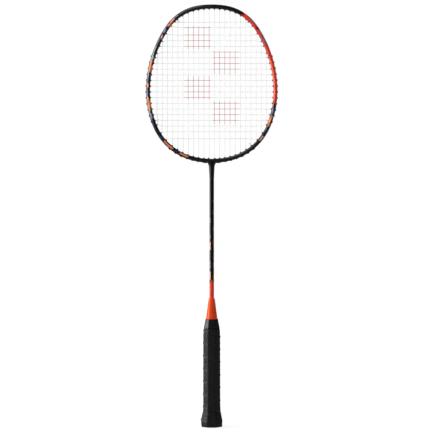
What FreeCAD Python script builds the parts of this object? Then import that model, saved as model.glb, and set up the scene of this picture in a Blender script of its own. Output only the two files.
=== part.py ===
"""Badminton racket, strung and gripped.

Millimetres. +Z runs up the shaft to the head, X lies across the string face and Y through it.
The origin is the centre of the foot of the butt.
"""
import FreeCAD
import Part
import Sketcher

import math
import os

from FreeCAD import Placement, Rotation, Vector

ORIGIN = Vector(0, 0, 0)
AXIS_X = Vector(1, 0, 0)
AXIS_Y = Vector(0, 1, 0)
AXIS_Z = Vector(0, 0, 1)

# Every driving size: alias, value in millimetres (degrees or a count where it says so), meaning.
SIZES = [
    # head outline, measured on the outer edge of the rim
    ("racket_length", 675.0, "foot of the butt to the top of the head"),
    ("head_width", 210.0, "across the widest line of the head"),
    ("crown_height", 138.0, "widest line up to the top of the head"),
    ("throat_depth", 115.0, "widest line down to the foot of the head"),
    ("crown_radius", 140.0, "arc over the top of the head"),
    ("shoulder_radius", 76.0, "arc of the upper corners"),
    ("upper_side_radius", 184.0, "arc above the widest line"),
    ("lower_side_radius", 150.0, "arc below the widest line"),
    ("jaw_radius", 92.0, "arc of the lower corners"),
    ("throat_radius", 125.0, "arc across the foot of the head"),
    # rim section
    ("rim_thickness", 6.5, "rim, inner edge to outer edge"),
    ("rim_depth", 11.0, "rim through the string face, ridge to ridge before the ridges are rounded"),
    ("rim_edge", 5.6, "flat width of the rim's inner and outer edge"),
    ("rim_wall", 1.1, "laminate of the rim"),
    ("ridge_drop", 3.6, "outer edge to the ridge of each side facet"),
    ("ridge_round", 0.9, "rounding of the ridges"),
    ("channel_width", 3.4, "string channel in the outer edge"),
    ("channel_depth", 1.5, "string channel in the outer edge"),
    # neck of the head: its widths from the shaft up, each at its distance below the foot of the head
    ("neck_length", 26.0, "foot of the head down to the end of the neck"),
    ("neck_end", 7.5, "neck at its lower end"),
    ("neck_swell_drop", 18.0, "foot of the head down to the swell"),
    ("neck_swell", 8.0, "neck at the swell"),
    ("neck_waist_drop", 10.0, "foot of the head down to the waist"),
    ("neck_waist", 8.7, "neck at the waist"),
    ("neck_bow_drop", 5.0, "foot of the head down to the start of the flare"),
    ("neck_bow", 9.6, "neck at the start of the flare"),
    ("neck_flank_drop", 2.0, "foot of the head down to the middle of the flare"),
    ("neck_flank", 11.6, "neck at the middle of the flare"),
    ("neck_flare", 15.0, "neck where it meets the rim"),
    ("neck_root_rise", 2.9, "foot of the head up to the neck's root inside the rim"),
    ("neck_root", 17.0, "neck at its root"),
    ("neck_depth", 9.4, "neck through the string face"),
    ("neck_bore_rise", 3.25, "foot of the head up to the end of the neck's bore"),
    # shaft
    ("shaft_diameter", 7.3, "outside of the shaft"),
    ("shaft_bore", 5.1, "inside of the shaft"),
    ("shaft_seat", 78.0, "height of the shaft's lower end in the handle"),
    ("glue_gap", 0.05, "glue line between bonded pieces"),
    ("overrun", 1.0, "distance that a cutting tool runs past the face it cuts"),
    ("overlap", 0.1, "distance that fused solids run into each other"),
    # internal joint of head and shaft
    ("spigot_length", 34.0, "joint's stem below the neck's end"),
    ("spigot_rise", 4.0, "joint's stem above the foot of the head"),
    ("joint_arm_angle", 13.0, "half angle of the joint's arms on the throat arc, degrees"),
    # stringing
    ("string_diameter", 0.68, "string"),
    ("weave_gap", 0.04, "clearance between crossing strings"),
    ("string_lane", 0.42, "offset of each string from the middle of its holes"),
    ("main_count", 22, "main strings, an even count"),
    ("main_pitch", 8.33, "spacing of the main strings"),
    ("cross_count", 21, "cross strings"),
    ("cross_pitch", 9.09, "spacing of the cross strings"),
    ("cross_start", 89.4, "widest line up to the third cross string"),
    ("cross_upper_gap", 11.8, "second to third cross string"),
    ("cross_top_pitch", 8.6, "first to second cross string"),
    ("cross_lower_gap", 11.0, "last two cross strings"),
    ("share_gap", 5.1, "string ends closer than this along the rim share a hole"),
    ("least_crossing", 1.2, "crossings nearer than this to a string's turn are left out"),
    ("settled_crossing", 6.0, "crossings nearer than this to a turn keep the strings' lanes"),
    ("string_turn", 0.6, "a string's inner turn beyond the grommet's mouth"),
    ("string_bend", 0.8, "radius of a string's turns"),
    ("run_gap", 0.19, "outer runs of the string above the grommets' flanges"),
    ("run_step", 6.0, "longest straight stretch of an outer run"),
    ("tail_length", 4.4, "tied end inside the rim"),
    ("tail_offset", 1.0, "tied end off the string face"),
    ("tail_end", 0.6, "tied end beyond its knot"),
    ("tail_step", 1.2, "tied end's step off the string face, inside the rim"),
    ("knot_rest", 0.3, "straight string before the knot"),
    ("longest_sweep", 30, "most points of a string swept in one piece, a count"),
    ("least_stretch", 2.5, "shortest straight stretch in which a swept piece may end"),
    ("knot_diameter", 1.6, "tie-off knot"),
    ("knot_length", 1.9, "tie-off knot"),
    # grommets
    ("barrel_diameter", 2.7, "grommet barrel"),
    ("barrel_bore", 1.9, "grommet bore"),
    ("barrel_reach", 1.3, "barrel beyond the rim's inner edge"),
    ("barrel_clearance", 0.05, "string hole around the barrel"),
    ("flange_length", 4.8, "grommet flange along the rim"),
    ("barrel_lead", 0.3, "bevel of the barrel's end"),
    ("flange_thickness", 0.5, "grommet flange"),
    ("flange_bevel", 0.7, "bevel of the flange's corners"),
    ("shared_bore", 2.0, "bore of a grommet that carries two strings"),
    ("shared_flange", 6.0, "flange of a grommet that carries two strings"),
    ("shared_ear", 4.5, "ears of a grommet that carries two strings"),
    ("long_ear", 3.6, "ears of the shoulder and jaw grommets, along the rim"),
    ("throat_ear_rise", 0.7, "throat ears above the rim's outer edge"),
    ("flange_clearance", 0.05, "flange to the channel's walls and floor"),
    ("ear_length", 2.8, "ears beside the string, along the rim"),
    ("ear_thickness", 0.6, "ears beside the string"),
    ("ear_rise", 0.9, "side grommets' ears above the rim's outer edge"),
    ("crown_ear_drop", 0.15, "crown grommets' ears below the rim's outer edge"),
    ("ear_start_angle", 72.0, "rim angle from the crown where raised ears begin, degrees"),
    ("crown_end_angle", 40.0, "rim angle where the crown's grommets end, degrees"),
    ("jaw_start_angle", 112.0, "rim angle where the jaw's grommets begin, degrees"),
    ("throat_start_angle", 157.0, "rim angle where the throat's grommets begin, degrees"),
    ("throat_exit", 8.6, "exit of the innermost main strings beside the neck"),
    ("strip_length", 9.6, "flange of the two-barrel strip beside the neck"),
    ("strip_ear", 6.4, "ears of that strip"),
    ("strip_barrel_rise", 0.2, "strip's barrels above the foot of the flange"),
    ("strip_recess", 6.0, "height of the recess that clears the strip where the neck flares"),
    # cone
    ("cone_height", 34.5, "cone's length"),
    ("cone_top", 9.6, "diameter at the shaft"),
    ("cone_base", 19.2, "diameter at the grip"),
    ("cone_wall", 1.5, "cone's wall around the handle's nose"),
    ("cone_round", 0.8, "rounding of the cone's top edge"),
    # handle and grip: outside of the grip, at its stations from the butt upwards
    ("grip_top", 171.5, "height of the grip's upper end"),
    ("grip_thickness", 1.8, "grip tape"),
    ("grip_corner", 0.27, "bevel of the eight-sided grip as a share of its width"),
    ("foot_height", 0.9, "height of the tape's lower edge"),
    ("foot_width", 31.4, "tape's lower edge"),
    ("foot_depth", 28.2, "tape's lower edge"),
    ("heel_height", 4.0, "heel of the butt"),
    ("heel_width", 33.6, "heel of the butt"),
    ("heel_depth", 30.2, "heel of the butt"),
    ("flare_height", 10.0, "widest station of the butt"),
    ("flare_width", 34.0, "widest station of the butt"),
    ("flare_depth", 30.6, "widest station of the butt"),
    ("ramp_height", 16.5, "middle of the butt's ramp"),
    ("ramp_width", 31.6, "middle of the butt's ramp"),
    ("ramp_depth", 28.4, "middle of the butt's ramp"),
    ("waist_height", 22.5, "top of the butt's ramp"),
    ("waist_width", 28.6, "top of the butt's ramp"),
    ("waist_depth", 25.6, "top of the butt's ramp"),
    ("handle_height", 30.0, "start of the straight handle"),
    ("handle_width", 27.0, "straight handle across the string face"),
    ("handle_depth", 24.0, "straight handle through the string face"),
    ("shoulder_height", 148.0, "end of the straight handle"),
    ("upper_height", 158.0, "lower edge of the finishing band"),
    ("upper_width", 25.4, "grip at the finishing band's lower edge"),
    ("upper_depth", 23.2, "grip at the finishing band's lower edge"),
    ("end_width", 20.2, "grip's upper end"),
    ("end_depth", 20.0, "grip's upper end"),
    ("band_thickness", 0.25, "finishing band"),
    ("band_lap", 1.2, "finishing band beyond the grip's upper end"),
    ("band_end_width", 19.9, "inside of the finishing band's upper end"),
    ("band_end_depth", 19.9, "inside of the finishing band's upper end"),
    ("nose_length", 19.0, "handle's nose inside the cone"),
    # butt cap
    ("cap_floor", 4.0, "thickness of the cap's floor"),
    ("cap_foot", 0.4, "height of the cap's foot above the end disc's face"),
    ("cap_foot_width", 28.8, "tape round the cap's foot"),
    ("cap_foot_depth", 25.6, "tape round the cap's foot"),
    ("disc_width", 22.0, "end disc across the string face"),
    ("disc_depth", 19.0, "end disc through the string face"),
    ("disc_thickness", 0.8, "end disc"),
    ("seat_clearance", 0.1, "room round a piece set in a recess"),
    ("staple_span", 9.0, "staple, leg to leg"),
    ("staple_leg", 9.0, "length of a staple's legs"),
    ("staple_wire", 0.9, "staple wire"),
    ("staple_slot", 1.08, "slot for a staple's crown"),
    ("leg_hole", 1.32, "hole for a staple's leg"),
    ("staple_spacing", 8.0, "between the two staples"),
]


def make_sheet(doc):
    """The spreadsheet that holds every driving size as a plain number with an alias."""
    sheet = doc.addObject("Spreadsheet::Sheet", "Sizes")
    for row, (alias, number, meaning) in enumerate(SIZES, start=1):
        sheet.set("A%d" % row, alias)
        sheet.set("B%d" % row, str(number))
        sheet.set("C%d" % row, meaning)
        sheet.setAlias("B%d" % row, alias)
    doc.recompute()
    return sheet


class Size:
    """A size worked out from the sheet: its number, with the expression that keeps it bound."""

    def __init__(self, number, text):
        self.number = float(number)
        self.text = text

    def __float__(self):
        return self.number

    def __neg__(self):
        return Size(-self.number, "-(%s)" % self.text)

    def __add__(self, other):
        return Size(self.number + float(other), "(%s + %s)" % (self.text, written(other)))

    def __sub__(self, other):
        return Size(self.number - float(other), "(%s - %s)" % (self.text, written(other)))

    def __mul__(self, other):
        return Size(self.number * float(other), "(%s * %s)" % (self.text, written(other)))

    def __truediv__(self, other):
        return Size(self.number / float(other), "(%s / %s)" % (self.text, written(other)))

    def __rsub__(self, other):
        return -self + other


def written(value):
    return value.text if isinstance(value, Size) else repr(float(value))


class Sheet:
    """The sheet's sizes by alias: S.rim_depth is bound, float(S.rim_depth) is its number."""

    def __init__(self):
        for alias, number, _ in SIZES:
            setattr(self, alias, Size(number, "Sizes." + alias))


def drive(item, path, value):
    """Binds a property (or a part of one) to an expression of the sheet."""
    item.setExpression(path, written(value))


NONE = Size(0, "0")
doc = FreeCAD.newDocument("Racket")
sheet = make_sheet(doc)
S = Sheet()


# ---------------------------------------------------------------------------------------------
# Sketch and feature helpers
# ---------------------------------------------------------------------------------------------


def new_body(name):
    body = doc.addObject("PartDesign::Body", name)
    body.Label = name
    return body


def origin_feature(body, role):
    return next(f for f in body.Origin.OriginFeatures if f.Role == role)


def new_sketch(body, name, plane, lift=None):
    """A sketch on one of the body's origin planes, lifted along its normal by an expression."""
    sketch = body.newObject("Sketcher::SketchObject", name)
    sketch.AttachmentSupport = [(origin_feature(body, plane), "")]
    sketch.MapMode = "FlatFace"
    if lift is not None:
        drive(sketch, "AttachmentOffset.Base.z", lift)
    return sketch


def pin_point(sketch, geometry, end, x, y):
    """Ties a point of the sketch to sizes of the sheet."""
    for kind, value, axis in (("DistanceX", x, -2), ("DistanceY", y, -1)):
        if abs(float(value)) < 1e-9:
            sketch.addConstraint(Sketcher.Constraint("PointOnObject", geometry, end, axis))
            continue
        if float(value) > 0:
            rule = Sketcher.Constraint(kind, -1, 1, geometry, end, float(value))
        else:
            value = -value
            rule = Sketcher.Constraint(kind, geometry, end, -1, 1, float(value))
        drive(sketch, "Constraints[%d]" % sketch.addConstraint(rule), value)


def polygon(sketch, corners):
    """A closed outline of straight lines through corners given as pairs of sizes."""
    spots = [Vector(float(x), float(y), 0) for x, y in corners]
    first = sketch.GeometryCount
    count = len(corners)
    for i in range(count):
        sketch.addGeometry(Part.LineSegment(spots[i], spots[(i + 1) % count]), False)
    for i in range(count):
        following = first + (i + 1) % count
        sketch.addConstraint(Sketcher.Constraint("Coincident", first + i, 2, following, 1))
        pin_point(sketch, first + i, 1, *corners[i])


def mirrored_outline(corners):
    """The corners of one half (x >= 0, bottom to top) with their mirror images added."""
    return corners + [(-x, y) for x, y in reversed(corners) if abs(float(x)) > 1e-9]


def circle(sketch, diameter, x=0.0, y=0.0):
    ring = Part.Circle(Vector(float(x), float(y), 0), AXIS_Z, float(diameter) / 2)
    index = sketch.addGeometry(ring, False)
    pin_point(sketch, index, 3, x, y)
    rule = Sketcher.Constraint("Diameter", index, float(diameter))
    drive(sketch, "Constraints[%d]" % sketch.addConstraint(rule), diameter)


def octagon(sketch, width, depth):
    """The handle's eight-sided section, its bevels cut at 45 degrees."""
    bevel = width * S.grip_corner
    right = [
        (width / 2 - bevel, -(depth / 2)),
        (width / 2, bevel - depth / 2),
        (width / 2, depth / 2 - bevel),
        (width / 2 - bevel, depth / 2),
    ]
    polygon(sketch, mirrored_outline(right))


def feature(body, kind, name, profile, **settings):
    """A sketch-based feature of the body, with plain settings and bound expressions."""
    made = body.newObject("PartDesign::%s" % kind, name)
    made.Profile = profile
    for key, setting in settings.items():
        if isinstance(setting, Size):
            drive(made, key, setting)
        else:
            setattr(made, key, setting)
    profile.Visibility = False
    return made


def loft(body, kind, name, sketches):
    """A ruled loft through sketches that lie one above the other."""
    return feature(body, kind, name, sketches[0], Sections=sketches[1:], Ruled=True, Refine=False)


# ---------------------------------------------------------------------------------------------
# Head outline: six tangent arcs a side, described by the angle of their outward normal
# ---------------------------------------------------------------------------------------------

HEAD_LINE = S.racket_length - S.crown_height
HEAD_FOOT = HEAD_LINE - S.throat_depth


def quarter_oval(half_width, height, end_radius, corner_radius, side_radius):
    """Centres and normal angles (degrees from the end) of three tangent arcs filling a quarter."""
    end = (0.0, height - end_radius)
    side = (half_width - side_radius, 0.0)
    from_end, from_side = end_radius - corner_radius, side_radius - corner_radius
    across, down = side[0] - end[0], side[1] - end[1]
    apart = math.hypot(across, down)
    along = (from_end**2 - from_side**2 + apart**2) / (2 * apart)
    off = math.sqrt(from_end**2 - along**2)
    corner = max(
        (
            (end[0] + (along * across - way * down) / apart, end[1] + (along * down + way * across) / apart)
            for way in (off, -off)
        ),
        key=sum,
    )
    first = math.degrees(math.atan2(corner[0] - end[0], corner[1] - end[1]))
    second = math.degrees(math.atan2(corner[0] - side[0], corner[1] - side[1]))
    return [
        (end, end_radius, 0, first),
        (corner, corner_radius, first, second),
        (side, side_radius, second, 90),
    ]


class HeadOutline:
    """The right half of the rim's outer edge, from the crown (0 degrees) to the throat (180)."""

    def __init__(self):
        line = float(HEAD_LINE)
        upper = (S.head_width / 2, S.crown_height, S.crown_radius, S.shoulder_radius, S.upper_side_radius)
        lower = (S.head_width / 2, S.throat_depth, S.throat_radius, S.jaw_radius, S.lower_side_radius)
        upper, lower = (quarter_oval(*map(float, sizes)) for sizes in (upper, lower))
        self.arcs = [((c[0], line + c[1]), r, a, b) for c, r, a, b in upper]
        self.arcs += [((c[0], line - c[1]), r, 180 - b, 180 - a) for c, r, a, b in reversed(lower)]

    def arc_at(self, angle):
        return next((arc for arc in self.arcs if angle <= arc[3] + 1e-9), self.arcs[-1])

    def point(self, angle, lift=0.0, y=0.0):
        """A point on the outline, lifted outwards; a negative angle is on the left side."""
        (cx, cz), radius, _, _ = self.arc_at(abs(angle))
        turn = math.radians(abs(angle))
        x = cx + (radius + lift) * math.sin(turn)
        return Vector(math.copysign(x, angle) if angle else 0.0, y, cz + (radius + lift) * math.cos(turn))

    def travel(self, angle):
        """Length of the outer edge from the crown to an angle."""
        done = 0.0
        for _, radius, start, stop in self.arcs:
            done += radius * math.radians(max(0.0, min(angle, stop) - start))
        return done

    def angle_where(self, measure, target, low, high):
        """The angle between low and high where a measure that runs one way reaches its target."""
        rising = measure(high) > measure(low)
        for _ in range(60):
            middle = (low + high) / 2
            if (measure(middle) < target) == rising:
                low = middle
            else:
                high = middle
        return (low + high) / 2

    def frame(self, angle):
        """Placement at the outer edge: local Z outwards, local X along the rim, local Y as the racket's."""
        return Placement(self.point(angle), Rotation(AXIS_Y, angle))


OUTLINE = HeadOutline()


def draw_outline(sketch):
    """The six arcs of the right half as one chain, from the crown to the throat, all tied to the sheet."""
    radii = [S.crown_radius, S.shoulder_radius, S.upper_side_radius]
    radii += [S.lower_side_radius, S.jaw_radius, S.throat_radius]
    for (cx, cz), radius, start, stop in OUTLINE.arcs:
        arc = Part.Circle(Vector(cx, cz, 0), AXIS_Z, radius)
        # sketch arcs run anticlockwise, so each one starts at its lower end
        sketch.addGeometry(Part.ArcOfCircle(arc, math.radians(90 - stop), math.radians(90 - start)), False)
    for i, radius in enumerate(radii):
        rule = Sketcher.Constraint("Radius", i, float(radius))
        drive(sketch, "Constraints[%d]" % sketch.addConstraint(rule), radius)
    for i in range(len(radii) - 1):
        sketch.addConstraint(Sketcher.Constraint("Tangent", i, 1, i + 1, 2))
    pin_point(sketch, 0, 2, 0.0, S.racket_length)
    sketch.addConstraint(Sketcher.Constraint("PointOnObject", 0, 3, -2))
    pin_point(sketch, 5, 1, 0.0, HEAD_FOOT)
    sketch.addConstraint(Sketcher.Constraint("PointOnObject", 5, 3, -2))
    pin_point(sketch, 2, 1, S.head_width / 2, HEAD_LINE)
    sketch.addConstraint(Sketcher.Constraint("Horizontal", 2, 3, 2, 1))


# ---------------------------------------------------------------------------------------------
# Stringing plan: where each string meets the rim, and which ends share a hole
# ---------------------------------------------------------------------------------------------

MAIN, CROSS = "main", "cross"
HALF_MAINS = int(S.main_count.number) // 2
CROSSES = int(S.cross_count.number)
MOUTH = -float(S.rim_thickness + S.barrel_reach)
UPPER, LOWER = "upper", "lower"


def main_x(index):
    """Distance from the axis of the index-th main string out from the middle."""
    return (index + 0.5) * S.main_pitch.number


def cross_z(index):
    """Height of the index-th cross string down from the crown."""
    third = float(HEAD_LINE + S.cross_start)
    if index == 0:
        return third + float(S.cross_upper_gap + S.cross_top_pitch)
    if index == 1:
        return third + S.cross_upper_gap.number
    if index == CROSSES - 1:
        return third - (CROSSES - 4) * S.cross_pitch.number - S.cross_lower_gap.number
    return third - (index - 2) * S.cross_pitch.number


class Hole:
    """A string hole of the right side: its rim angle and the strings that pass through it."""

    def __init__(self, angle, users):
        self.angle = angle
        self.users = users
        self.travel = OUTLINE.travel(angle)

    def shared(self):
        return len(self.users) > 1


def mouth_x(angle):
    return OUTLINE.point(angle, MOUTH).x


def mouth_z(angle):
    return OUTLINE.point(angle, MOUTH).z


def plan_holes():
    """All string ends of the right side in order round the rim, close ones merged into shared holes."""
    ends = []
    for i in range(HALF_MAINS):
        x = main_x(i)
        for end, low, high in ((UPPER, 0, 88), (LOWER, 92, 180)):
            ends.append((OUTLINE.angle_where(mouth_x, x, low, high), (MAIN, i, end)))
    for j in range(CROSSES):
        ends.append((OUTLINE.angle_where(mouth_z, cross_z(j), 0, 180), (CROSS, j, None)))
    ends.sort()
    holes = []
    for angle, user in ends:
        close = holes and OUTLINE.travel(angle) - holes[-1].travel < S.share_gap.number
        if close and not holes[-1].shared() and holes[-1].users[0][0] != user[0]:
            middle = (holes[-1].travel + OUTLINE.travel(angle)) / 2
            angle = OUTLINE.angle_where(OUTLINE.travel, middle, holes[-1].angle, angle)
            holes[-1] = Hole(angle, holes[-1].users + [user])
        else:
            holes.append(Hole(angle, [user]))
    return holes


HOLES = plan_holes()
HOLE_OF = {user: hole for hole in HOLES for user in hole.users}
INNERMOST = HOLE_OF[(MAIN, 0, LOWER)]
SIDES = (1, -1)


def slanted_line(side):
    """Mouth and exit of the innermost main string, whose hole slants outwards to clear the neck."""
    mouth = OUTLINE.point(INNERMOST.angle, MOUTH)
    floor = -S.channel_depth.number
    leave = OUTLINE.angle_where(lambda a: OUTLINE.point(a, floor).x, S.throat_exit.number, 92, 180)
    out = OUTLINE.point(leave, floor)
    return Vector(side * mouth.x, 0, mouth.z), Vector(side * out.x, 0, out.z)


# ---------------------------------------------------------------------------------------------
# Frame: hollow rim with its neck, the joint inside it, and the shaft
# ---------------------------------------------------------------------------------------------


def rim_section(sketch, corners):
    """A closed section of the rim in the plane of the axis, from (half depth, drop from the crown)."""
    half = [(y, S.racket_length - drop) for y, drop in corners]
    polygon(sketch, mirrored_outline(half))


def rim_corners():
    return [
        (S.rim_edge / 2, S.rim_thickness),
        (S.rim_depth / 2, S.ridge_drop),
        (S.rim_edge / 2, NONE),
        (S.channel_width / 2, NONE),
        (S.channel_width / 2, S.channel_depth),
    ]


# shares of the wall at the hollow's corners, which keep the wall even on the sloping facets
INNER_SHARE, RIDGE_SHARE, OUTER_SHARE = 0.46, 1.25, 0.4


def hollow_corners(gap):
    """The rim's hollow, drawn in by a gap."""
    return [
        (S.rim_edge / 2 - S.rim_wall * INNER_SHARE - gap, S.rim_thickness - S.rim_wall - gap),
        (S.rim_depth / 2 - (S.rim_wall + gap) * RIDGE_SHARE, S.ridge_drop),
        (S.rim_edge / 2 + S.rim_wall * OUTER_SHARE - gap, S.channel_depth + S.rim_wall + gap),
    ]


def edges_at_depth(shape, depth):
    """Names of the edges that keep one distance from the string face."""
    names = []
    for number, edge in enumerate(shape.Edges, start=1):
        start, stop = edge.ParameterRange
        spots = [edge.valueAt(start), edge.valueAt((start + stop) / 2), edge.valueAt(stop)]
        if all(abs(abs(spot.y) - depth) < 0.01 for spot in spots):
            names.append("Edge%d" % number)
    return names


def make_rim():
    body = new_body("rim")
    path = new_sketch(body, "rim_outline", "XZ_Plane")
    draw_outline(path)
    section = new_sketch(body, "rim_section", "YZ_Plane")
    rim_section(section, rim_corners())
    sweep = feature(body, "AdditivePipe", "rim_sweep", section, Spine=(path, []))
    doc.recompute()
    ridges = body.newObject("PartDesign::Fillet", "ridge_rounding")
    ridges.Base = (sweep, edges_at_depth(sweep.Shape, S.rim_depth.number / 2))
    drive(ridges, "Radius", S.ridge_round)
    body.Tip = ridges
    doc.recompute()
    return body


def make_rim_hollow():
    body = new_body("rim_hollow")
    path = new_sketch(body, "hollow_path", "XZ_Plane")
    draw_outline(path)
    section = new_sketch(body, "hollow_section", "YZ_Plane")
    rim_section(section, hollow_corners(NONE))
    feature(body, "AdditivePipe", "hollow_sweep", section, Spine=(path, []))
    return body


def other_half(item, name):
    """The mirror image of a solid on the left side of the racket."""
    image = doc.addObject("Part::Mirroring", name)
    image.Source = item
    image.Normal = AXIS_X
    return image


def fuse(name, pieces):
    joined = doc.addObject("Part::MultiFuse", name)
    joined.Shapes = pieces
    return joined


def cut(name, base, tool):
    made = doc.addObject("Part::Cut", name)
    made.Base = base
    made.Tool = tool
    return made


def cylinder(name, diameter, height, foot, axis=Rotation()):
    made = doc.addObject("Part::Cylinder", name)
    drive(made, "Radius", diameter / 2)
    drive(made, "Height", height)
    made.Placement = Placement(foot, axis)
    return made


def make_neck():
    """The flare from the shaft into the foot of the rim: a smooth loft of ellipses."""
    stations = [
        (-S.neck_length, S.neck_end, S.neck_end),
        (-S.neck_swell_drop, S.neck_swell, S.neck_swell),
        (-S.neck_waist_drop, S.neck_waist, S.neck_waist),
        (-S.neck_bow_drop, S.neck_bow, S.neck_depth),
        (-S.neck_flank_drop, S.neck_flank, S.neck_depth),
        (NONE, S.neck_flare, S.neck_depth),
        (S.neck_root_rise, S.neck_root, S.neck_depth),
    ]
    rings = []
    for number, (rise, width, depth) in enumerate(stations):
        ring = doc.addObject("Part::Ellipse", "neck_ring_%d" % number)
        drive(ring, "MajorRadius", width / 2)
        drive(ring, "MinorRadius", depth / 2)
        drive(ring, "Placement.Base.z", HEAD_FOOT + rise)
        rings.append(ring)
    neck = doc.addObject("Part::Loft", "neck")
    neck.Sections = rings
    neck.Solid = True
    neck.Ruled = False
    return neck


def make_string_holes():
    """One drilling through the rim for each grommet barrel, clear of the barrel all round."""
    drills = []
    deep = S.rim_thickness + S.barrel_reach
    for hole in HOLES:
        for side in SIDES:
            name = "drill_%02d_%s" % (HOLES.index(hole) + 1, "right" if side > 0 else "left")
            diameter = S.barrel_diameter + S.barrel_clearance * 2
            if hole is INNERMOST:
                mouth, out = slanted_line(side)
                drill = cylinder(name, diameter, deep, mouth, Rotation(AXIS_Z, out - mouth))
                drive(drill, "Height", deep + S.channel_depth)
            else:
                angle = side * hole.angle
                drill = cylinder(name, diameter, deep, OUTLINE.point(angle, MOUTH), Rotation(AXIS_Y, angle))
            drills.append(drill)
    drilled = doc.addObject("Part::Compound", "string_holes")
    drilled.Links = drills
    return drilled


def make_head_frame(holes):
    rim, hollow = make_rim(), make_rim_hollow()
    both_sides = fuse("rim_both_sides", [rim, other_half(rim, "rim_left"), make_neck()])
    bore = cylinder("neck_bore", S.shaft_bore, S.neck_length + S.neck_bore_rise, ORIGIN)
    drive(bore, "Placement.Base.z", HEAD_FOOT - S.neck_length)
    room = S.strip_length + S.seat_clearance * 2
    width, foot = S.channel_width - S.flange_clearance, NONE - S.channel_depth - S.seat_clearance
    recess = strip_box("strip_recess", room, width, S.strip_recess, 0, foot)
    right = [hollow, recess]
    left = [other_half(item, item.Name + "_left") for item in right]
    shell = cut("frame_shell", both_sides, fuse("frame_inside", right + left + [bore]))
    return cut("head_frame", shell, holes)


def make_t_joint(holes):
    """The joint bonded inside: arms along the throat's hollow and a stem down into the shaft."""
    body = new_body("joint_arms")
    path = new_sketch(body, "arm_path", "XZ_Plane")
    centre = HEAD_FOOT + S.throat_radius
    spread = math.radians(S.joint_arm_angle.number)
    arc = Part.Circle(Vector(0, float(centre), 0), AXIS_Z, S.throat_radius.number)
    path.addGeometry(Part.ArcOfCircle(arc, -math.pi / 2, -math.pi / 2 + spread), False)
    pin_point(path, 0, 3, 0.0, centre)
    pin_point(path, 0, 1, 0.0, HEAD_FOOT)
    rule = path.addConstraint(Sketcher.Constraint("Angle", 0, spread))
    path.setExpression("Constraints[%d]" % rule, "Sizes.joint_arm_angle * 1 deg")
    section = new_sketch(body, "arm_section", "YZ_Plane")
    half = [(y, HEAD_FOOT + drop) for y, drop in hollow_corners(S.glue_gap)]
    polygon(section, mirrored_outline(list(reversed(half))))
    feature(body, "AdditivePipe", "arm_sweep", section, Spine=(path, []))
    stem_length = S.spigot_length + S.neck_length + S.spigot_rise
    stem = cylinder("joint_stem", S.shaft_bore - S.glue_gap * 2, stem_length, ORIGIN)
    drive(stem, "Placement.Base.z", HEAD_FOOT - S.neck_length - S.spigot_length)
    solid = fuse("joint_solid", [body, other_half(body, "joint_arm_left"), stem])
    return cut("t_joint", solid, holes)


def make_shaft():
    body = new_body("shaft")
    ends = new_sketch(body, "shaft_section", "XY_Plane", S.shaft_seat)
    circle(ends, S.shaft_diameter)
    circle(ends, S.shaft_bore)
    feature(body, "Pad", "shaft_tube", ends, Length=HEAD_FOOT - S.neck_length - S.shaft_seat)
    return body


# ---------------------------------------------------------------------------------------------
# Handle: core, cone, grip, butt cap with its disc and staples
# ---------------------------------------------------------------------------------------------


def grip_stations():
    """Outside of the grip from its lower edge to its upper end: height, width, depth."""
    return [
        (S.foot_height, S.foot_width, S.foot_depth),
        (S.heel_height, S.heel_width, S.heel_depth),
        (S.flare_height, S.flare_width, S.flare_depth),
        (S.ramp_height, S.ramp_width, S.ramp_depth),
        (S.waist_height, S.waist_width, S.waist_depth),
        (S.handle_height, S.handle_width, S.handle_depth),
        (S.shoulder_height, S.handle_width, S.handle_depth),
        (S.upper_height, S.upper_width, S.upper_depth),
        (S.grip_top, S.end_width, S.end_depth),
    ]


def octagon_loft(body, kind, name, stations, inset):
    """A ruled loft of eight-sided sections, each drawn in by an inset on every side."""
    sections = []
    for number, (height, width, depth) in enumerate(stations):
        sketch = new_sketch(body, "%s_%d" % (name, number), "XY_Plane", height)
        octagon(sketch, width - inset * 2, depth - inset * 2)
        sections.append(sketch)
    return loft(body, kind, name, sections)


def make_grip_tape():
    body = new_body("grip_tape")
    octagon_loft(body, "AdditiveLoft", "grip_outside", grip_stations(), NONE)
    octagon_loft(body, "SubtractiveLoft", "grip_inside", grip_stations(), S.grip_thickness)
    return body


def make_finishing_tape():
    """The conical band that closes the grip's upper end and laps onto the cone."""
    body = new_body("finishing_tape")
    stations = [
        (S.upper_height, S.upper_width, S.upper_depth),
        (S.grip_top, S.end_width, S.end_depth),
        (S.grip_top + S.band_lap, S.band_end_width, S.band_end_depth),
    ]
    octagon_loft(body, "AdditiveLoft", "band_outside", stations, -(S.band_thickness + S.glue_gap))
    octagon_loft(body, "SubtractiveLoft", "band_inside", stations, -S.glue_gap)
    return body


def make_handle_core():
    """The wooden handle: shoulder on the butt cap, spigot inside it, round nose inside the cone."""
    body = new_body("handle_core")
    inset = S.grip_thickness + S.glue_gap
    octagon_loft(body, "AdditiveLoft", "core_outside", grip_stations()[4:], inset)
    spigot = new_sketch(body, "spigot_section", "XY_Plane", S.cap_foot + S.cap_floor)
    octagon(spigot, S.handle_width - inset * 2, S.handle_depth - inset * 2)
    feature(body, "Pad", "spigot", spigot, Length=S.waist_height - S.cap_foot - S.cap_floor)
    nose = new_sketch(body, "nose_profile", "XZ_Plane")
    polygon(nose, nose_corners(S.glue_gap, S.nose_length))
    feature(body, "Revolution", "nose", nose, ReferenceAxis=(origin_feature(body, "Z_Axis"), [""]))
    bore = new_sketch(body, "shaft_bore_section", "XY_Plane", S.shaft_seat)
    circle(bore, S.shaft_diameter + S.glue_gap * 2)
    socket = S.grip_top + S.nose_length + S.overrun - S.shaft_seat
    feature(body, "Pocket", "shaft_socket", bore, Length=socket, Reversed=True)
    for x in (-S.staple_span / 2, S.staple_span / 2):
        for y in (-S.staple_spacing / 2, S.staple_spacing / 2):
            staple_hole(body, x, y, S.cap_foot + S.cap_floor, S.staple_leg)
    return body


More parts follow.
